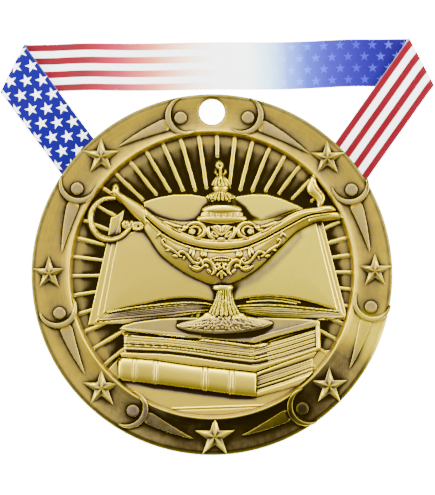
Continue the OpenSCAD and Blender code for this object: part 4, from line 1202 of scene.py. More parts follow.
def swept_relief(path, halves, foot, top, bevel):
    """Verts and faces of a raised band with flat top and round edges along a path."""
    path = np.asarray(path, float)
    way = np.gradient(path, axis=0)
    way /= np.maximum(np.linalg.norm(way, axis=1), 1e-9)[:, None]
    side = np.stack([-way[:, 1], way[:, 0]], 1)
    verts = []
    for p, s, half in zip(path, side, halves):
        b = min(bevel, half * 0.8)
        low = top - b * (0.9 if half > b else 0.6)
        section = [(half, foot), (half, low)]
        for a in np.radians([30, 60, 90]):
            section.append((half - b * (1 - math.cos(a)), low + (top - low) * math.sin(a)))
        full = [(-w, z) for w, z in section] + [(w, z) for w, z in section[::-1]]
        verts += [(p[0] + s[0] * w, p[1] + s[1] * w, z) for w, z in full]
    return verts, tube_faces(len(path), len(verts) // len(path))


class Wiring:
    """Short calls that add nodes to one tree and join them."""

    def __init__(self, tree):
        self.nodes = tree.nodes
        self.links = tree.links

    def feed(self, socket, value):
        if isinstance(value, bpy.types.NodeSocket):
            self.links.new(value, socket)
        elif value is not None:
            socket.default_value = value

    def math(self, operation, a, b=None, c=None, clamp=False):
        node = self.nodes.new("ShaderNodeMath")
        node.operation = operation
        node.use_clamp = clamp
        for socket, value in zip(node.inputs, (a, b, c)):
            self.feed(socket, value)
        return node.outputs[0]

    def plus(self, a, b, clamp=False):
        return self.math("ADD", a, b, clamp=clamp)

    def minus(self, a, b, clamp=False):
        return self.math("SUBTRACT", a, b, clamp=clamp)

    def times(self, a, b):
        return self.math("MULTIPLY", a, b)

    def fed(self, node, values):
        """Feeds some inputs of a node, by their names or numbers, and returns the node."""
        for label, value in values.items():
            self.feed(node.inputs[label], value)
        return node

    def node(self, kind, values):
        return self.fed(self.nodes.new(kind), values)

    def step(self, value, low, high):
        node = self.node("ShaderNodeMapRange", {0: value, 1: low, 2: high})
        node.interpolation_type = "SMOOTHSTEP"
        return node.outputs[0]

    def mix(self, share, a, b, blend="MIX"):
        node = self.nodes.new("ShaderNodeMix")
        node.data_type = "RGBA"
        node.blend_type = blend
        self.feed(node.inputs[0], share)
        self.feed(node.inputs[6], a)
        self.feed(node.inputs[7], b)
        return node.outputs[2]

    def ramp(self, value, stops, plain):
        """Colours along a value. A stop without a colour is the plain one."""
        node = self.nodes.new("ShaderNodeValToRGB")
        first, last = stops[0][0], stops[-1][0]
        share = self.math("DIVIDE", self.minus(value, first), last - first, clamp=True)
        self.feed(node.inputs[0], share)
        points = node.color_ramp.elements
        while len(points) < len(stops):
            points.new(0.5)
        for k, (at, _) in enumerate(stops):
            points[k].position = (at - first) / (last - first)
        for k, (_, colour) in enumerate(stops):
            points[k].color = (*(colour or plain), 1)
        return node.outputs[0]

    def noise(self, vector, scale, detail, roughness=0.55):
        node = self.node("ShaderNodeTexNoise", {"Vector": vector, "Scale": scale, "Detail": detail,
                                                "Roughness": roughness})
        return node.outputs["Fac"]

    def stretched(self, vector, scale, turn=0.0):
        node = self.node("ShaderNodeMapping", {"Vector": vector, "Scale": scale, "Rotation": (0, 0, turn)})
        return node.outputs[0]

    def attribute(self, name):
        node = self.nodes.new("ShaderNodeAttribute")
        node.attribute_name = name
        return node.outputs["Fac"]

    def bump(self, height, strength, distance):
        node = self.node("ShaderNodeBump", {"Strength": strength, "Distance": distance, "Height": height})
        return node.outputs[0]

    def group(self, tree, values):
        """A node of a shader group with its inputs fed."""
        node = self.nodes.new("ShaderNodeGroup")
        node.node_tree = tree
        return self.fed(node, values).outputs


def new_group(name, inputs, outputs):
    """A shader node group with named sockets, given as (name, kind, default)."""
    group = bpy.data.node_groups.new(name, "ShaderNodeTree")
    for label, kind, default in inputs:
        socket = group.interface.new_socket(label, in_out="INPUT", socket_type="NodeSocket" + kind)
        if default is not None:
            socket.default_value = default
    for label, kind in outputs:
        group.interface.new_socket(label, in_out="OUTPUT", socket_type="NodeSocket" + kind)
    w = Wiring(group)
    enter = group.nodes.new("NodeGroupInput")
    leave = group.nodes.new("NodeGroupOutput")
    return group, w, enter.outputs, leave.inputs


def aged_metal_group():
    """A dark tone where the darkening is high, from dirt and painted shade, a bright tone on the edges, from
    rubbing and painted highlights, and a fine brushed grain.
    """
    found = bpy.data.node_groups.get("Aged metal")
    if found:
        return found
    group, w, given, out = new_group(
        "Aged metal",
        [("Metal", "Color", (0.6, 0.5, 0.25, 1)), ("Grime and shade", "Color", (0.05, 0.03, 0.01, 1)),
         ("Polish and highlight", "Color", (0.9, 0.8, 0.5, 1)), ("Darkening", "Float", 0.0), ("Edge", "Float", 0.0),
         ("Grain", "Float", 1.0), ("Brushing", "Float", 1.0), ("Skin", "Float", 0.0)],
        [("Color", "Color"), ("Roughness", "Float"), ("Height", "Float")])
    coords = group.nodes.new("ShaderNodeTexCoord").outputs["Object"]
    broad = w.noise(coords, 150.0, 3.0)
    cloudy = w.noise(coords, 620.0, 4.0, 0.6)
    brushed = w.noise(w.stretched(coords, (5200, 420, 420)), 1.0, 2.0)
    grains = w.noise(coords, w.times(given["Grain"], 5200.0), 2.0, 0.6)
    uneven = w.plus(w.times(w.minus(broad, 0.5), 0.3), w.times(w.minus(cloudy, 0.5), 0.22))
    darkening = w.plus(given["Darkening"], w.times(uneven, w.plus(given["Darkening"], 0.22)))
    streaks = w.times(w.minus(brushed, 0.5), w.times(given["Brushing"], 0.12))
    darkening = w.plus(darkening, streaks, clamp=True)
    # Seen steps between clean and darkened are even only if the clean share falls as a power
    clean = w.minus(1.0, w.step(darkening, 0.0, 0.95))
    darkened = w.minus(1.0, w.math("POWER", clean, 2.2), clamp=True)
    edge = w.times(w.step(given["Edge"], 0.05, 0.7), w.minus(1.0, w.times(cloudy, 0.5)))
    tone = w.mix(darkened, given["Metal"], given["Grime and shade"])
    # Brass with a thin skin is warmer, and half-worn brass is paler than a plain mixture of the two
    pale = w.times(w.math("POWER", darkened, 4.0), w.math("POWER", w.minus(1.0, darkened), 1.25))
    pale = w.times(pale, w.minus(1.0, w.times(given["Skin"], 0.8)))
    tone = w.mix(pale, tone, (0, 0, 0.78, 1), "ADD")
    thin = w.times(w.step(darkened, 0.15, 0.45), w.minus(1.0, w.step(darkened, 0.6, 0.85)))
    warm = w.mix(1.0, tone, (1.06, 0.97, 0.46, 1), "MULTIPLY")
    tone = w.mix(w.times(thin, given["Skin"]), tone, warm)
    tone = w.mix(edge, tone, given["Polish and highlight"])
    streaked = w.mix(1.0, tone, w.plus(0.9, w.times(brushed, 0.2)), "MULTIPLY")
    w.feed(out["Color"], w.mix(w.times(given["Brushing"], 0.8), tone, streaked))
    rough = w.plus(0.36, w.times(darkened, 0.22))
    rough = w.plus(rough, w.times(w.minus(grains, 0.5), 0.16))
    rough = w.minus(rough, w.times(edge, 0.08), clamp=True)
    w.feed(out["Roughness"], rough)
    w.feed(out["Height"], w.plus(w.times(brushed, given["Brushing"]), grains))
    return group


def new_material(name):
    """A material, its wiring and the inputs of its shader."""
    material = bpy.data.materials.new(name)
    material.use_nodes = True
    w = Wiring(material.node_tree)
    return material, w, w.nodes["Principled BSDF"].inputs


def brass_material(sizes, name="medal_brass", brushing=1.0, darkening=None, skin=0.0):
    """Old brass whose tone follows how dark and how bright the shape's points are stored, painted shade and
    painted highlights included, or one even darkness.
    """
    found = bpy.data.materials.get(name)
    if found:
        return found
    material, w, shader = new_material(name)
    follows = darkening is None
    metal = w.group(aged_metal_group(), {
        "Metal": (*sizes.metal, 1), "Grime and shade": (*sizes.grime_and_shade, 1), "Polish and highlight": (*sizes.polish_and_highlight, 1),
        "Darkening": w.attribute("grime_and_shade") if follows else darkening,
        "Edge": w.attribute("wear_and_highlight") if follows else None,
        "Brushing": brushing, "Skin": skin})
    w.feed(shader["Metallic"], 1.0)
    w.feed(shader["Roughness"], metal["Roughness"])
    w.feed(shader["Base Color"], metal["Color"])
    w.feed(shader["Normal"], w.bump(metal["Height"], 0.35, 0.00002))
    return material


def border_material(sizes):
    """The brass of the disc and the field, which keeps a thin warm skin."""
    return brass_material(sizes, "border_brass", skin=0.75)


def star_field_group():
    """Staggered rows of five-pointed stars, each with a point towards +V. Lengths in millimetres."""
    found = bpy.data.node_groups.get("Star field")
    if found:
        return found
    group, w, given, out = new_group(
        "Star field",
        [("U", "Float", 0.0), ("V", "Float", 0.0), ("Pitch", "Float", 3.6), ("Row", "Float", 2.8),
         ("Size", "Float", 1.3), ("Start U", "Float", 0.0), ("Start V", "Float", 0.0)],
        [("Mask", "Float")])
    v = w.minus(given["V"], given["Start V"])
    row = w.math("ROUND", w.math("DIVIDE", v, given["Row"]))
    dv = w.minus(v, w.times(row, given["Row"]))
    odd = w.math("FLOORED_MODULO", row, 2.0)
    shift = w.times(w.times(odd, 0.5), given["Pitch"])
    u = w.minus(w.minus(given["U"], given["Start U"]), shift)
    half = w.times(given["Pitch"], 0.5)
    du = w.math("WRAP", u, half, w.times(half, -1.0))
    turn = w.math("ARCTAN2", du, dv)
    fifth = 2 * math.pi / 5
    folded = w.math("ABSOLUTE", w.math("WRAP", turn, fifth / 2, -fifth / 2))
    reach = w.math("SQRT", w.plus(w.times(du, du), w.times(dv, dv)))
    edge = w.times(reach, w.math("COSINE", w.minus(folded, fifth)))
    gap = w.minus(w.times(given["Size"], math.cos(fifth)), edge)
    w.feed(out["Mask"], w.step(gap, -0.035, 0.035))
    return group


def cloth_weave_group():
    """Fine satin ribs across a ribbon and its slubs. Lengths in millimetres."""
    found = bpy.data.node_groups.get("Satin weave")
    if found:
        return found
    group, w, given, out = new_group(
        "Satin weave", [("U", "Float", 0.0), ("V", "Float", 0.0), ("Thread", "Float", 0.22)],
        [("Height", "Float"), ("Shade", "Float")])
    across_ribs = w.math("SINE", w.times(w.math("DIVIDE", given["U"], given["Thread"]), 2 * math.pi))
    longer = w.times(given["Thread"], 1.4)
    along_ribs = w.math("SINE", w.times(w.math("DIVIDE", given["V"], longer), 2 * math.pi))
    stretched = w.node("ShaderNodeCombineXYZ", {0: given["U"], 1: w.times(given["V"], 6.0)})
    slub = w.noise(stretched.outputs[0], 1.0, 3.0)
    ribs = w.plus(w.times(across_ribs, 0.5), w.times(along_ribs, 0.35))
    w.feed(out["Height"], w.plus(ribs, slub))
    w.feed(out["Shade"], w.plus(0.94, w.times(slub, 0.12)))
    return group


# Millimetres of cloth that one unit of the ribbon's UV map stands for
LAY_UNIT = 100.0
# Seven stripes share the band's width of 10 mm
STRIPE = 10.0 / 7
# The print's dyes along the inner side of the run. A row is a place in millimetres and a colour
# Next to the left fold the red is darker, which is painted shade
RED_FADE_AND_SHADE = [(2, (0.078, 0.0034, 0.008)), (8, (0.13, 0.004, 0.01)), (15, (0.133, 0.009, 0.0136)),
            (19, (0.225, 0.0108, 0.0244)), (23, (0.31, 0.027, 0.047)), (27, (0.457, 0.083, 0.069)),
            (30, (0.588, 0.17, 0.096)), (34, (0.8, 0.38, 0.26)), (38, (0.93, 0.68, 0.52)), (43, None)]
BLUE_FADE = [(50, None), (54, (0.42, 0.72, 0.97)), (58.2, (0.12, 0.197, 0.65)), (62.4, (0.039, 0.056, 0.37)),
             (66.6, (0.025, 0.0195, 0.24)), (70.8, (0.0154, 0.0091, 0.173)), (75.1, (0.0094, 0.003, 0.13)),
             (80, (0.007, 0.001, 0.085))]
STAR_FADE = [(50, None), (54, (0.46, 0.76, 0.98)), (58.2, (0.16, 0.27, 0.72)), (62.4, (0.05, 0.1, 0.64)),
             (66.6, (0.033, 0.038, 0.5)), (72, (0.022, 0.0185, 0.31)), (76, (0.022, 0.019, 0.31)),
             (82, (0.034, 0.05, 0.42))]


def ribbon_material(name, sizes):
    """Printed satin: stars on blue at one end, stripes at the other, and a fade between them."""
    blue, red, white = ((*colour, 1) for colour in (sizes.blue, sizes.red, sizes.white))
    material, w, shader = new_material(name)
    uv = w.nodes.new("ShaderNodeUVMap")
    uv.uv_map = "lay"
    split = w.node("ShaderNodeSeparateXYZ", {0: uv.outputs[0]}).outputs
    u = w.times(split[0], LAY_UNIT)
    v = w.times(split[1], LAY_UNIT)

    def stars(pitch, row, size, start_u, start_v):
        return w.group(star_field_group(), {"U": u, "V": v, "Pitch": pitch, "Row": row, "Size": size,
                                            "Start U": start_u, "Start V": start_v})[0]

    stripe = w.math("PINGPONG", w.math("DIVIDE", w.plus(v, 5.0 - STRIPE / 2), STRIPE), 1.0)
    stripe = w.step(stripe, 0.45, 0.55)
    # The outer side goes from stars to stripes in the middle of the run, where it isn't seen
    plain_stars = w.mix(stars(3.67, 2.77, 1.4, -5.65, -1.95), blue, white)
    outer_side = w.mix(w.step(u, 36.0, 50.0), plain_stars, w.mix(stripe, red, white))
    # The print of the inner side pales towards the middle, its dyes one after the other, and next to the left
    # fold its red is darkened by painted shade
    faded_and_shaded_red = w.mix(stripe, w.ramp(u, RED_FADE_AND_SHADE, sizes.white), white)
    faded_stars = w.mix(stars(3.44, 2.44, 1.08, 2.28, 1.36), w.ramp(u, BLUE_FADE, sizes.white),
                        w.ramp(u, STAR_FADE, sizes.white))
    inner_side = w.mix(w.step(u, 42.0, 46.0), faded_and_shaded_red, faded_stars)
    weave = w.group(cloth_weave_group(), {"U": u, "V": v})
    colour = w.mix(w.attribute("outer_side"), inner_side, outer_side)
    colour = w.mix(1.0, colour, weave["Shade"], "MULTIPLY")
    selvedge = w.step(w.math("ABSOLUTE", v), 4.72, 4.95)
    w.feed(shader["Base Color"], w.mix(w.times(selvedge, 0.18), colour, (0.25, 0.25, 0.28, 1)))
    w.feed(shader["Roughness"], 0.7)
    w.feed(shader["Specular IOR Level"], 0.06)
    w.feed(shader["Normal"], w.bump(weave["Height"], 0.3, 0.00003))
    return material


def thread_material(name, colour):
    """Twisted sewing thread."""
    material, w, shader = new_material(name)
    coords = w.nodes.new("ShaderNodeTexCoord").outputs["Object"]
    twist = w.noise(w.stretched(coords, (9000, 2600, 2600), 0.6), 1.0, 2.0)
    w.feed(shader["Base Color"], w.mix(twist, (*[c * 0.6 for c in colour], 1), (*colour, 1)))
    w.feed(shader["Roughness"], 0.7)
    w.feed(shader["Sheen Weight"], 0.3)
    w.feed(shader["Normal"], w.bump(twist, 0.6, 0.00005))
    return material


def floor_material(name, colour, glow, shine):
    """Matt white paper with a very faint tooth, lit from below, and brighter for the view."""
    material, w, shader = new_material(name)
    coords = w.nodes.new("ShaderNodeTexCoord").outputs["Object"]
    tooth = w.noise(coords, 900.0, 3.0)
    w.feed(shader["Base Color"], w.mix(w.times(tooth, 0.03), (*colour, 1), (0.8, 0.8, 0.8, 1)))
    w.feed(shader["Roughness"], 0.9)
    w.feed(shader["Emission Color"], (1, 1, 1, 1))
    seen = w.nodes.new("ShaderNodeLightPath").outputs["Is Camera Ray"]
    w.feed(shader["Emission Strength"], w.math("MULTIPLY_ADD", seen, shine - glow, glow))
    return material


CORNER_LEFT = np.array([-42.2, 43.6])
CORNER_RIGHT = np.array([44.3, 45.0])
SEWN = np.array([1.5, -15.5])
TAIL = 5.0
LOW_Z, HIGH_Z = 0.5, 1.8
FIRST_Z, SECOND_Z = 1.4, 2.5
FOLD_R = (HIGH_Z - LOW_Z) / 2
FOLD_WIDE = 1.5
FOLD_STEPS = 20
RUN_STEPS = 64
ACROSS_STEPS = 20
# Each strap rises to its fold between these two distances from the corner
RISE_FROM, RISE_TO = 20.5, 10.2
# and sinks from the medal's back between these two distances from the sewn point
SINK_FROM, SINK_TO = 8, 32
# Along the flat band from its left fold: where it is free of the sewn ends, and its run
FREE_FROM, FREE_TO = -64, 152
RUN_FROM, RUN_TO = 9, 77
# A hair's breadth keeps two lines of the band apart where two stretches meet
HAIR = 1e-3


def unit(v):
    return v / np.linalg.norm(v)


def across(v):
    return np.array([-v[1], v[0]])


def band_lines(width):
    """The band's lines across, from its left sewn end to its right one: edge, edge, outer side."""
    lines = []

    def square(p, way, z):
        half = across(way) * width / 2
        lines.append((np.array([*(p + half), z]), np.array([*(p - half), z]), np.array([0, 0, 1.0])))

    def strap(p, way, span, z0, z1, steps):
        for k in range(steps + 1):
            t = k / steps
            square(p + way * (span[0] + (span[1] - span[0]) * t), way, z0 + (z1 - z0) * float(ease(t)))

    def fold(corner, way, leave, z0, z1):
        axis, out = unit(way + leave), unit(way - leave)
        slant = float(way @ out)
        s = 1 if z0 > z1 else -1
        side = s if across(way) @ axis > 0 else -s
        half = np.array([*(side * axis * width / 2 / slant), 0])
        # The roll is wider than it is high
        fine = np.linspace(0, math.pi, 361)
        arcs = np.hypot(np.diff(np.sin(fine)) * FOLD_WIDE, np.diff(np.cos(fine)) * FOLD_R)
        arcs = np.concatenate([[0], np.cumsum(arcs)])
        back = arcs[-1] / 2
        for k in range(FOLD_STEPS + 1):
            a = math.pi * k / FOLD_STEPS
            arc = float(np.interp(a, fine, arcs)) - back
            p = corner + axis * float(way @ axis) * arc / slant + out * (FOLD_WIDE * math.sin(a) - back)
            c = np.array([*p, (z0 + z1) / 2 + s * FOLD_R * math.cos(a)])
            n = np.array([*(out * math.sin(a) * FOLD_R), s * math.cos(a) * FOLD_WIDE])
            lines.append((c + half, c - half, n))

    way_left = unit(CORNER_LEFT - SEWN)
    way_run = unit(CORNER_RIGHT - CORNER_LEFT)
    way_right = unit(SEWN - CORNER_RIGHT)
    right_len = np.linalg.norm(CORNER_RIGHT - SEWN)
    left_len = np.linalg.norm(CORNER_LEFT - SEWN)
    strap(SEWN, way_left, (-TAIL, SINK_FROM - HAIR), FIRST_Z, FIRST_Z, 10)
    strap(SEWN, way_left, (SINK_FROM, SINK_TO), FIRST_Z, LOW_Z, 24)
    strap(SEWN, way_left, (SINK_TO + 1, left_len - RISE_FROM - HAIR), LOW_Z, LOW_Z, 18)
    strap(CORNER_LEFT, way_left, (-RISE_FROM, -RISE_TO), LOW_Z, HIGH_Z, 12)
    left_fold = len(lines)
    fold(CORNER_LEFT, way_left, way_run, HIGH_Z, LOW_Z)
    run_start = len(lines)
    fold(CORNER_RIGHT, way_run, way_right, LOW_Z, HIGH_Z)
    strap(CORNER_RIGHT, way_right, (RISE_TO, RISE_FROM), HIGH_Z, LOW_Z, 12)
    strap(SEWN, way_right, (-(right_len - RISE_FROM) + HAIR, -SINK_TO - 1), LOW_Z, LOW_Z, 18)
    strap(SEWN, way_right, (-SINK_TO, -SINK_FROM), LOW_Z, SECOND_Z, 24)
    strap(SEWN, way_right, (-SINK_FROM + HAIR, TAIL), SECOND_Z, SECOND_Z, 10)
    # The run is split finely, so that it can ripple
    before, after = lines[:run_start], lines[run_start:]
    a, b = before[-1], after[0]
    run = [tuple(x + (y - x) * k / RUN_STEPS for x, y in zip(a, b)) for k in range(1, RUN_STEPS)]
    return before + run + after, left_fold


def run_length(points):
    """How far along a line each of its points lies."""
    return np.concatenate([[0], np.cumsum(np.linalg.norm(np.diff(points, axis=0), axis=1))])


def ribbon_mesh(name, width, thickness, ripple):
    """The band as one closed cloth, with its own flat lay as a UV map."""
    lines, left_fold = band_lines(width)
    n, m = len(lines), ACROSS_STEPS
    share = np.linspace(0, 1, m + 1)
    edge_a = np.array([line[0] for line in lines])
    edge_b = np.array([line[1] for line in lines])
    normal = np.array([unit(line[2]) for line in lines])
    length = run_length((edge_a + edge_b) / 2)
    corner = length[left_fold + FOLD_STEPS // 2]
    # On a slanted fold each thread keeps its own length, so the lay follows both edges
    u_edge = []
    for edge in (edge_a, edge_b):
        run = run_length(edge)
        u_edge.append(run - run[left_fold - 1] + length[left_fold - 1])
    grid = edge_a[:, None, :] * (1 - share)[None, :, None] + edge_b[:, None, :] * share[None, :, None]
    u = u_edge[0][:, None] * (1 - share)[None, :] + u_edge[1][:, None] * share[None, :] - corner
    v = (share - 0.5)[None, :] * width + np.zeros((n, 1))
    # Slight ripples of the free stretches, none where the cloth is folded or sewn
    free = np.clip(np.minimum(u - FREE_FROM, FREE_TO - u) / 14, 0, 1)
    run_part = np.clip(np.minimum(u - RUN_FROM, RUN_TO - u) / 8, 0, 1)
    lift = ripple * (0.5 + 0.5 * np.sin(u / 5.2 + 0.25 * v)) * 0.35 * free
    lift = lift * np.where(run_part > 0, 1.0, 0.5)
    grid[:, :, 2] += lift * run_part
    sway = 0.22 * np.sin(u / 13 + 1.0) + 0.12 * np.sin(u / 5.4)
    grid[:, :, 1] += ripple * sway * run_part
    # A soft dish across the band, so that it doesn't look like sheet metal
    dish = 0.05 * (1 - (2 * v / width) ** 2)
    outer = grid + normal[:, None, :] * (thickness / 2 + dish)[:, :, None]
    inner = grid - normal[:, None, :] * (thickness / 2)
    count = m + 1
    verts = np.concatenate([outer.reshape(-1, 3), inner.reshape(-1, 3)])
    faces, sides = [], []
    base = n * count
    for i in range(n - 1):
        for k in range(m):
            a, b = i * count + k, (i + 1) * count + k
            faces.append((a, a + 1, b + 1, b))
            sides.append(1.0)
            faces.append((base + a, base + b, base + b + 1, base + a + 1))
            sides.append(0.0)
        for k, flip in ((0, False), (m, True)):
            a, b = i * count + k, (i + 1) * count + k
            quad = (a, b, base + b, base + a)
            faces.append(quad[::-1] if flip else quad)
            sides.append(1.0)
    for i, flip in ((0, True), (n - 1, False)):
        for k in range(m):
            a = i * count + k
            quad = (a, a + 1, base + a + 1, base + a)
            faces.append(quad[::-1] if flip else quad)
            sides.append(1.0)
    mesh = bpy.data.meshes.new(name)
    mesh.from_pydata(in_frame(verts), [], faces)
    flat_u = np.concatenate([u.ravel(), u.ravel()])
    flat_v = np.concatenate([v.ravel(), v.ravel()])
    layer = mesh.uv_layers.new(name="lay")
    corners = np.empty(len(mesh.loops), dtype=np.int32)
    mesh.loops.foreach_get("vertex_index", corners)
    layer.data.foreach_set("uv", np.stack([flat_u[corners], flat_v[corners]], 1).ravel() / LAY_UNIT)
    store(mesh, "outer_side", sides, "FACE")
    tidy_mesh(mesh, merge=0)
    smooth(mesh, 50)
    return mesh, float(length[-1])


def new_tree(name, inputs):
    """A geometry node tree with named inputs. Returns it with its input and output sockets."""
    tree = bpy.data.node_groups.new(name, "GeometryNodeTree")
    tree.interface.new_socket("Geometry", in_out="INPUT", socket_type="NodeSocketGeometry")
    ids = {}
    for label, kind in inputs:
        socket = tree.interface.new_socket(label, in_out="INPUT", socket_type="NodeSocket" + kind)
        ids[label] = socket.identifier
    tree.interface.new_socket("Geometry", in_out="OUTPUT", socket_type="NodeSocketGeometry")
    return tree, tree.nodes.new("NodeGroupInput").outputs, tree.nodes.new("NodeGroupOutput").inputs, ids


def run_tree(name, mesh, tree, ids, values):
    """Runs a tree on a mesh and returns the plain mesh that it makes, as an object."""
    holder = added(name + ".points", mesh)
    modifier = holder.modifiers.new("Layout", "NODES")
    modifier.node_group = tree
    for label, value in values.items():
        modifier[ids[label]] = value
    return baked(holder, name)


def layout_tree(name):
    """Copies of one shape on points that carry their own size, width and turn."""
    tree, given, out, ids = new_tree(name, [("Shape", "Object"), ("Height share", "Float"),
                                            ("Material", "Material")])
    w = Wiring(tree)
    info = w.node("GeometryNodeObjectInfo", {"Object": given["Shape"]})
    fields = {}
    for label in ("size", "wide", "turn"):
        node = tree.nodes.new("GeometryNodeInputNamedAttribute")
        node.data_type = "FLOAT"
        node.inputs["Name"].default_value = label
        fields[label] = node.outputs["Attribute"]
    turned = w.node("ShaderNodeCombineXYZ", {2: fields["turn"]})
    scaled = w.node("ShaderNodeCombineXYZ", {0: fields["size"], 1: fields["wide"], 2: given["Height share"]})
    points = w.node("GeometryNodeMeshToPoints", {"Mesh": given["Geometry"]})
    place = w.node("GeometryNodeInstanceOnPoints", {
        "Points": points.outputs[0], "Instance": info.outputs["Geometry"],
        "Rotation": turned.outputs[0], "Scale": scaled.outputs[0]})
    real = w.node("GeometryNodeRealizeInstances", {0: place.outputs[0]})
    finish = w.node("GeometryNodeSetMaterial", {"Geometry": real.outputs[0], "Material": given["Material"]})
    w.feed(out[0], finish.outputs[0])
    return tree, ids


def point_mesh(name, points, sizes, wide, turns):
    """Points in millimetres with a size, a width and a turn each."""
    mesh = bpy.data.meshes.new(name)
    mesh.from_pydata(in_frame(points), [], [])
    store(mesh, "size", sizes)
    store(mesh, "wide", wide)
    store(mesh, "turn", turns)
    return mesh


def laid_out(name, layout, pattern, points, sizes, turns, material, wide=None):
    """One object of a pattern's copies on points, and the pattern removed."""
    tree, ids = layout_tree(layout)
    mesh = point_mesh(name + "_points", points, sizes, sizes if wide is None else wide, turns)
    out = run_tree(name, mesh, tree, ids, {"Shape": pattern, "Height share": 1.0, "Material": material})
    bpy.data.objects.remove(pattern)
    return out


def lone_shape(name, verts, faces):
    """A shape in metres round its own origin, kept out of the scene as a pattern for copies."""
    mesh = bpy.data.meshes.new(name)
    mesh.from_pydata((np.asarray(verts, float) * MM).tolist(), [], faces)
    tidy_mesh(mesh)
    return bpy.data.objects.new(name, mesh)


def star_shape(height, notch):
    """A ridged five-pointed star of radius 1 mm."""
    turn = np.radians(90 + 36 * np.arange(10))
    tips = np.arange(10) % 2 == 0
    verts, faces = [], []
    rows = [(1.02, -0.4, 1.02), (1.02, 0.0, 1.02), (1.0, 0.05, 0.99), (0.97, 0.08, 0.93)]
    for tip, z, inner in rows:
        reach = np.where(tips, tip, notch * inner)
        verts += [(reach[k] * math.cos(turn[k]), reach[k] * math.sin(turn[k]), z) for k in range(10)]
    # Between the rim and the peak the facets are split once, so that their tone can change
    for share in (0.66, 0.33, 0.04):
        reach = np.where(tips, 0.97, notch * 0.93) * share
        z = height - (height - 0.08) * share
        ridge = np.where(tips, z + 0.1 * math.sin(math.pi * share), z - 0.14 * math.sin(math.pi * share))
        verts += [(reach[k] * math.cos(turn[k]), reach[k] * math.sin(turn[k]), ridge[k]) for k in range(10)]
    n = len(rows) + 3
    for i in range(n - 1):
        for k in range(10):
            a, b = i * 10 + k, i * 10 + (k + 1) % 10
            faces.append((a, b, b + 10))
            faces.append((a, b + 10, a + 10))
    faces.append(tuple(range(10))[::-1])
    faces.append(tuple((n - 1) * 10 + k for k in range(10)))
    pattern = lone_shape("star_pattern", verts, faces)
    crest = []
    for v in pattern.data.vertices:
        x, y, z = v.co / MM
        apart = math.degrees(math.atan2(y, x)) % 72 - 18
        on_ridge = abs((apart + 36) % 72 - 36) < 4
        crest.append(0 if z < 0.07 else 1 if on_ridge and z > 0.1 else -1 if z > 0.1 else -0.4)
    store(pattern.data, "crest", crest)
    return pattern


def length_value(name, description, default):
    return FloatProperty(name=name, description=description, default=default, unit="LENGTH", precision=5)


def power_value(name, description, default):
    return FloatProperty(name=name, description=description, default=default, unit="POWER")


def tone_value(name, description, default):
    return FloatVectorProperty(name=name, description=description, default=default, subtype="COLOR",
                               min=0, max=1)


class MedalSizes(bpy.types.PropertyGroup):
    """Sizes and tones of the medal."""

    ray_count: IntProperty(name="Rays", description="Rays in a full turn round the hub", default=48,
                           min=12, max=96)
    ray_width: length_value("Ray width", "Width of a ray", 0.0007)
    ray_height: length_value("Ray height", "Height of a ray above the field", 0.0004)
    star_height: length_value("Star height", "Height of a star's peak above the border", 0.0008)
    star_notch: FloatProperty(name="Star notch", description="Inner radius as a share of the outer one",
                              default=0.36, subtype="FACTOR")
    figure_height: length_value("Figure height", "Height of the raised-arm figures", 0.0005)
    metal: tone_value("Metal", "Tone of the clean metal", (0.53, 0.39, 0.028))
    # The dark tone also paints shade, and the bright tone of rubbed edges also paints highlights
    grime_and_shade: tone_value("Grime and shade", "Tone of the hollows", (0.0085, 0.0052, 0.0006))
    polish_and_highlight: tone_value("Polish and highlight", "Tone of the rubbed edges", (0.79, 0.64, 0.035))


class RibbonSizes(bpy.types.PropertyGroup):
    """Sizes and colours of the neck ribbon."""

    width: length_value("Width", "Width of the band", 0.01)
    thickness: length_value("Thickness", "Thickness of the cloth", 0.0008)
    ripple: FloatProperty(name="Ripple", description="How much the band ripples", default=1.0, min=0, max=2)
    blue: tone_value("Blue", "Blue of the print", (0.0042, 0.0005, 0.1))
    red: tone_value("Red", "Red of the print", (0.115, 0.002, 0.007))
    white: tone_value("White", "White of the cloth", (0.93, 1.0, 0.96))
    thread: tone_value("Thread", "Colour of the sewing thread", (0.75, 0.76, 0.8))


class StageSizes(bpy.types.PropertyGroup):
    """Light, floor and view."""

    floor: tone_value("Floor", "Tone of the floor", (0.93, 0.93, 0.93))
    glow: FloatProperty(name="Floor glow", description="Light that comes through the floor", default=3.2)
    shine: FloatProperty(name="Floor shine", description="Brightness of the floor in the picture",
                         default=14.0)
    key: power_value("Key light", "Power of the light from the top side", 22.0)
    sides: power_value("Side lights", "Power of the lights at the sides", 15.0)
    overhead: power_value("Overhead", "Power of the soft panel above", 5.0)
    sky: FloatProperty(name="Sky", description="Strength of the even light all round", default=0.3)
    distance: length_value("Camera height", "Height of the camera above the medal", 0.9)


def aimed(obj, spot, target):
    obj.location = spot
    way = Vector(target) - Vector(spot)
    obj.rotation_euler = way.to_track_quat("-Z", "Y").to_euler()


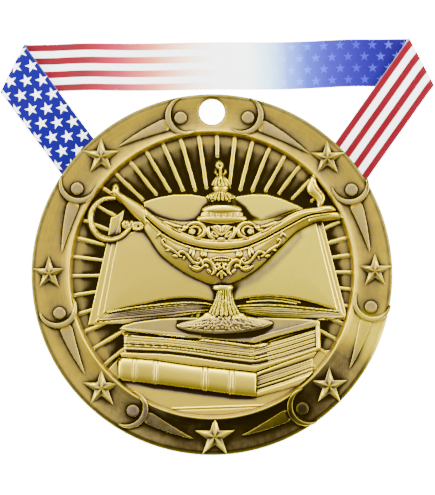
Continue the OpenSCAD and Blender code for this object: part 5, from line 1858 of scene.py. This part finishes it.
class MEDALLION_OT_stage(bpy.types.Operator):
    """Adds the floor, the soft light and the camera"""

    bl_idname = "medallion.stage"
    bl_label = "Stage"

    def execute(self, context):
        sizes = context.scene.medallion_stage
        scene = context.scene
        middle = (MIDDLE[0], MIDDLE[1], BORDER_Z * MM)
        # The view looks straight down on the medal, a little above its middle
        view = bpy.data.cameras.new("view")
        view.sensor_width = 36
        view.sensor_fit = "AUTO"
        view.lens = view.sensor_width * sizes.distance / (SHEET_SIZE[1] * SCALE * MM)
        view.clip_start = 0.01
        view.clip_end = 10
        camera = added("view", view)
        dx = (SHEET_SIZE[0] / 2 - SHEET_MIDDLE[0]) * SCALE * MM
        dy = (SHEET_MIDDLE[1] - SHEET_SIZE[1] / 2) * SCALE * MM
        camera.location = (middle[0] + dx, middle[1] + dy, middle[2] + sizes.distance)
        scene.camera = camera
        # The floor lies a hair below the ribbon
        side, z = 1.5, -0.00003
        mesh = bpy.data.meshes.new("floor")
        mesh.from_pydata([(-side, -side, z), (side, -side, z), (side, side, z), (-side, side, z)], [],
                         [(0, 1, 2, 3)])
        paper = floor_material("floor_paper", sizes.floor, sizes.glow, sizes.shine)
        placed("floor", mesh, paper)
        for name, spot, size, power in (
                ("key", (-0.08, 0.6, 0.62), (0.7, 0.5), sizes.key),
                ("left", (-0.62, 0.12, 0.5), (0.5, 0.5), sizes.sides * 0.9),
                ("right", (0.62, 0.12, 0.5), (0.5, 0.5), sizes.sides * 1.05),
                ("overhead", (0.0, 0.3, 1.15), (1.2, 0.84), sizes.overhead)):
            lamp = bpy.data.lights.new(name, "AREA")
            lamp.shape = "RECTANGLE"
            lamp.size, lamp.size_y = size
            lamp.energy = power
            aimed(added(name, lamp), (middle[0] + spot[0], middle[1] + spot[1], spot[2]), middle)
        world = bpy.data.worlds.new("sky")
        world.use_nodes = True
        sky = world.node_tree.nodes["Background"].inputs
        sky[0].default_value = (1, 1, 1, 1)
        sky[1].default_value = sizes.sky
        scene.world = world
        return {"FINISHED"}


def finish_piece(obj, *nodes, slot="medal_metal"):
    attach(obj, "root")
    if nodes:
        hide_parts(*nodes)


class MEDALLION_OT_disc(bpy.types.Operator):
    """Turns the disc with its dished border, ring, recessed back and hanging hole"""

    bl_idname = "medallion.disc"
    bl_label = "Disc"

    def execute(self, context):
        sizes = context.scene.medallion
        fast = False
        segments = 360 if fast else 960
        front = [(r, FIELD_Z) for r in FIELD_RINGS[::-1]]
        back = [(r, RECESS_Z) for r in FIELD_RINGS]
        mesh = lathe(front + finer(DISC_FRONT, 0.6 if fast else 0.21) + DISC_BACK + back, segments)
        tidy_mesh(mesh)
        disc = added("disc_blank", mesh)
        bore = [(HOLE_R + 0.5, BACK_Z - 1), (HOLE_R + 0.5, BACK_Z), (HOLE_R + 0.3, BACK_Z + 0.03),
                (HOLE_R + 0.12, BACK_Z + 0.12), (HOLE_R, BACK_Z + 0.4), (HOLE_R, BORDER_Z - 0.62),
                (HOLE_R + 0.05, BORDER_Z - 0.44), (HOLE_R + 0.16, BORDER_Z - 0.28),
                (HOLE_R + 0.34, BORDER_Z - 0.18), (HOLE_R + 0.62, BORDER_Z - 0.13),
                (HOLE_R + 0.62, BORDER_Z + 1)]
        cutter_mesh = lathe(bore[::-1], 96)
        for v in cutter_mesh.vertices:
            v.co.y += HOLE_Y * MM
        tidy_mesh(cutter_mesh)
        cutter = added("bore_cutter", cutter_mesh)
        cut = disc.modifiers.new("Bore", "BOOLEAN")
        cut.operation = "DIFFERENCE"
        cut.solver = "EXACT"
        cut.object = cutter
        out = baked(disc, "medal_disc")
        bpy.data.objects.remove(cutter)
        out.data.materials.clear()
        out.data.materials.append(border_material(sizes))
        age(out.data)
        smooth(out.data, 38)
        finish_piece(out, "medal")
        return {"FINISHED"}


class MEDALLION_OT_field(bpy.types.Operator):
    """Lays the fine-grained floor of the field under the relief"""

    bl_idname = "medallion.field"
    bl_label = "Field"

    def execute(self, context):
        sizes = context.scene.medallion
        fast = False
        rings = np.concatenate([[0.001, 4, 8, 12, 14], np.linspace(16, FIELD_R, 24 if fast else 56)])
        segments = 180 if fast else 720
        turn = np.linspace(0, 2 * math.pi, segments, endpoint=False)
        X = rings[:, None] * np.cos(turn)
        Y = rings[:, None] * np.sin(turn)
        # The outermost rings rise a little to meet the ridge
        brink = 29.4
        rise = np.where(rings > brink, (rings - brink) * 0.3, 0)[:, None] + 0 * X
        low = np.full_like(X[-1:], FIELD_Z - 0.3)
        verts = np.concatenate([np.stack([X, Y, FIELD_Z + 0.02 + rise], 2).reshape(-1, 3),
                                np.stack([X[-1:], Y[-1:], low], 2).reshape(-1, 3)])
        faces = []
        for i in range(len(rings)):
            a, b = i * segments, (i + 1) * segments
            for k in range(segments):
                n = (k + 1) % segments
                faces.append((a + k, b + k, b + n, a + n))
        faces.append(tuple(range(segments))[::-1])
        faces.append(tuple(len(rings) * segments + k for k in range(segments)))
        mesh = bpy.data.meshes.new("field")
        mesh.from_pydata(in_frame(verts), [], faces)
        tidy_mesh(mesh)
        age(mesh)
        mesh.shade_smooth()
        finish_piece(placed("field", mesh, border_material(sizes)), "medal")
        return {"FINISHED"}


class MEDALLION_OT_rays(bpy.types.Operator):
    """Sets the rays round the field"""

    bl_idname = "medallion.rays"
    bl_label = "Rays"

    def execute(self, context):
        sizes = context.scene.medallion
        half = sizes.ray_width / 2 / MM
        top = sizes.ray_height / MM
        # The pattern is 1 mm long, and each copy is stretched to the ridge
        near = np.array([0, 0.012, 0.03, 0.06])
        along = np.concatenate([near, [0.15, 0.3, 0.45, 0.6, 0.75, 0.87], 1 - near[::-1]])
        path = np.stack([along, 0 * along], 1)
        ends = np.array([0.35, 0.7, 0.92, 1])
        widths = half * np.concatenate([ends, np.ones(6), ends[::-1]])
        verts, faces = swept_relief(path, widths, -0.3, top, 0.16)
        pattern = lone_shape("ray_pattern", verts, faces)
        step = 360 / sizes.ray_count
        turns = [math.radians(RAY_TURN + step * k) for k in RAY_NUMBERS]
        points, lengths = [], []
        for a in turns:
            first, last = ray_span(a)
            points.append((RAY_HUB[0] + first * math.cos(a), RAY_HUB[1] + first * math.sin(a), FIELD_Z))
            lengths.append(last - first)
        out = laid_out("rays", "Ray layout", pattern, points, lengths, turns, brass_material(sizes),
                       wide=[1.0] * len(points))
        age(out.data, share=0.25)
        smooth(out.data, 50)
        finish_piece(out, "medal")
        return {"FINISHED"}


class MEDALLION_OT_relief(bpy.types.Operator):
    """Raises the open book, the closed books and the lamp"""

    bl_idname = "medallion.relief"
    bl_label = "Books and lamp"

    def execute(self, context):
        sizes = context.scene.medallion
        maps = drawn_maps()
        fine, tolerance = ((0.1, 0.004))
        for name, keep in (("open_book", RELIEF_R), ("closed_books", FIELD_R), ("lamp", None)):
            mesh = relief_mesh(name, maps[name], 0.02, keep, fine, tolerance)
            for v in mesh.vertices:
                v.co.z += FIELD_Z * MM
            age(mesh, share=0.9 if name == "lamp" else 1.0)
            finish_piece(placed(name, mesh, brass_material(sizes)), "medal")
        return {"FINISHED"}


class MEDALLION_OT_border(bpy.types.Operator):
    """Sets the stars and the raised-arm figures on the border"""

    bl_idname = "medallion.border"
    bl_label = "Border"

    def execute(self, context):
        sizes = context.scene.medallion
        pattern = star_shape(sizes.star_height / MM, sizes.star_notch)
        points = [(*sized(c), BORDER_Z - 0.04) for c, _ in STARS]
        out = laid_out("border_stars", "Star layout", pattern, points, [s * SCALE for _, s in STARS],
                       [0.0] * len(STARS), brass_material(sizes))
        age(out.data, share=0.35)
        crest = stored(out.data, "crest")
        for name, extra in (("grime_and_shade", np.clip(-crest, 0, 1) * 0.5), ("wear_and_highlight", np.clip(crest, 0, 1) * 0.6)):
            store(out.data, name, np.clip(stored(out.data, name) + extra, 0, 1))
        out.data.attributes.remove(out.data.attributes["crest"])
        out.data.set_sharp_from_angle(angle=math.radians(20))
        finish_piece(out, "medal")
        high = sizes.figure_height / MM
        verts, faces = [], []

        def add(v, f):
            start = len(verts)
            verts.extend(v)
            faces.extend(tuple(start + i for i in face) for face in f)

        for head, foot in FIGURES:
            c, arc, half, body, body_half = figure_lines(head, foot)
            add(*swept_relief(arc, half, BORDER_Z - 0.5, BORDER_Z - 0.14 + high, 0.24))
            add(*swept_relief(body, body_half, BORDER_Z - 0.5, BORDER_Z - 0.17 + high, 0.22))
            rows = [(1.31, -0.5), (1.31, high - 0.4), (1.28, high - 0.28), (1.2, high - 0.18),
                    (1.08, high - 0.12), (0.96, high - 0.1), (0.7, high - 0.1), (0.3, high - 0.1)]
            turn = np.linspace(0, 2 * math.pi, 40, endpoint=False)
            knob = [(c[0] + r * math.cos(a), c[1] + r * math.sin(a), BORDER_Z + z) for r, z in rows
                    for a in turn]
            add(knob, tube_faces(len(rows), len(turn)))
        mesh = bpy.data.meshes.new("border_figures")
        mesh.from_pydata(in_frame(verts), [], faces)
        tidy_mesh(mesh)
        age(mesh, base=0.03)
        # The rounded edges are rubbed bright, the flat tops keep the border's tone
        under_top = places(mesh)[:, 2] / MM - (BORDER_Z + high - 0.14)
        edge = (under_top > -0.2) & (under_top < -0.06)
        for name, value, share in (("grime_and_shade", 0.02, 1), ("wear_and_highlight", 0.9, 0.3)):
            store(mesh, name, np.where(edge, value, stored(mesh, name) * share))
        smooth(mesh, 50)
        finish_piece(placed("border_figures", mesh, brass_material(sizes)), "medal")
        return {"FINISHED"}


class MEDALLION_OT_ribbon(bpy.types.Operator):
    """Lays the printed ribbon with its two corner folds"""

    bl_idname = "medallion.ribbon"
    bl_label = "Ribbon"

    def execute(self, context):
        sizes = context.scene.medallion_ribbon
        mesh, length = ribbon_mesh("neck_band", sizes.width / MM, sizes.thickness / MM, sizes.ripple)
        band = placed("neck_band", mesh, ribbon_material("printed_satin", sizes))
        finish_piece(band, "neck_ribbon", slot="ribbon_cloth")
        return {"FINISHED"}


class MEDALLION_OT_stitches(bpy.types.Operator):
    """Sews the two ends of the ribbon together round the stud"""

    bl_idname = "medallion.stitches"
    bl_label = "Stitches"

    def execute(self, context):
        sizes = context.scene.medallion_ribbon
        # One stitch is a short thread that dips at both ends
        path = np.array([(-0.42, 0, 0), (-0.36, 0, -0.06), (-0.2, 0, -0.12), (0, 0, -0.14), (0.2, 0, -0.12),
                         (0.36, 0, -0.06), (0.42, 0, 0)])
        ring = np.linspace(0, 2 * math.pi, 6, endpoint=False)
        verts = [(p[0], 0.09 * math.cos(a), p[2] + 0.09 * math.sin(a)) for p in path for a in ring]
        pattern = lone_shape("stitch_pattern", verts, tube_faces(len(path), len(ring)))
        points, turns = [], []
        # Two rows across the underside of each end, clear of the stud's head
        for corner, z in ((CORNER_LEFT, FIRST_Z), (CORNER_RIGHT, SECOND_Z)):
            way = unit(corner - SEWN)
            for along in (5.7, 6.5):
                for k in range(-4, 5):
                    spot = SEWN + way * along + across(way) * 1.05 * k
                    points.append((*spot, z - sizes.thickness / 2 / MM + 0.02))
                    turns.append(math.atan2(*across(way)[::-1]))
        out = laid_out("stitches", "Stitch layout", pattern, points, [1.0] * len(points), turns,
                       thread_material("sewing_thread", sizes.thread))
        out.data.shade_smooth()
        finish_piece(out, slot="ribbon_cloth")
        return {"FINISHED"}


class MEDALLION_OT_stud(bpy.types.Operator):
    """Gives the stud that holds the ribbon ends its brass"""

    bl_idname = "medallion.stud"
    bl_label = "Stud"

    def execute(self, context):
        sizes = context.scene.medallion
        stud = bpy.data.objects.get("ribbon_stud")
        if stud is None:
            raise RuntimeError("The stud isn't in the frame")
        brass = brass_material(sizes, "stud_brass", brushing=0.4, darkening=0.12)
        if not len(stud.data.materials):
            stud.data.materials.append(brass)
        for slot in stud.material_slots:
            slot.material = brass
        return {"FINISHED"}


class MEDALLION_PT_panel(bpy.types.Panel):
    """Sizes, colours and steps of the medallion"""

    bl_idname = "MEDALLION_PT_panel"
    bl_label = "Medallion"
    bl_space_type = "VIEW_3D"
    bl_region_type = "UI"
    bl_category = "Medallion"

    def draw(self, context):
        scene = context.scene
        for title, group in (("Medal", scene.medallion), ("Ribbon", scene.medallion_ribbon),
                             ("Stage", scene.medallion_stage)):
            box = self.layout.box()
            box.label(text=title)
            for name in group.bl_rna.properties.keys():
                if name not in ("rna_type", "name"):
                    box.prop(group, name)
        for operator in OPERATORS:
            self.layout.operator(operator.bl_idname)


OPERATORS = (MEDALLION_OT_stage, MEDALLION_OT_disc, MEDALLION_OT_field, MEDALLION_OT_rays,
             MEDALLION_OT_relief, MEDALLION_OT_border, MEDALLION_OT_ribbon, MEDALLION_OT_stitches,
             MEDALLION_OT_stud)
GROUPS = (MedalSizes, RibbonSizes, StageSizes)


def register():
    for cls in (*GROUPS, *OPERATORS, MEDALLION_PT_panel):
        bpy.utils.register_class(cls)
    bpy.types.Scene.medallion = PointerProperty(type=MedalSizes)
    bpy.types.Scene.medallion_ribbon = PointerProperty(type=RibbonSizes)
    bpy.types.Scene.medallion_stage = PointerProperty(type=StageSizes)


def unregister():
    del bpy.types.Scene.medallion_stage
    del bpy.types.Scene.medallion_ribbon
    del bpy.types.Scene.medallion
    for cls in reversed((*GROUPS, *OPERATORS, MEDALLION_PT_panel)):
        bpy.utils.unregister_class(cls)


def main():
    register()
    for operator in OPERATORS:
        step = operator.bl_idname.split(".")[1]
        getattr(bpy.ops.medallion, step)()


if __name__ == "__main__":
    main()
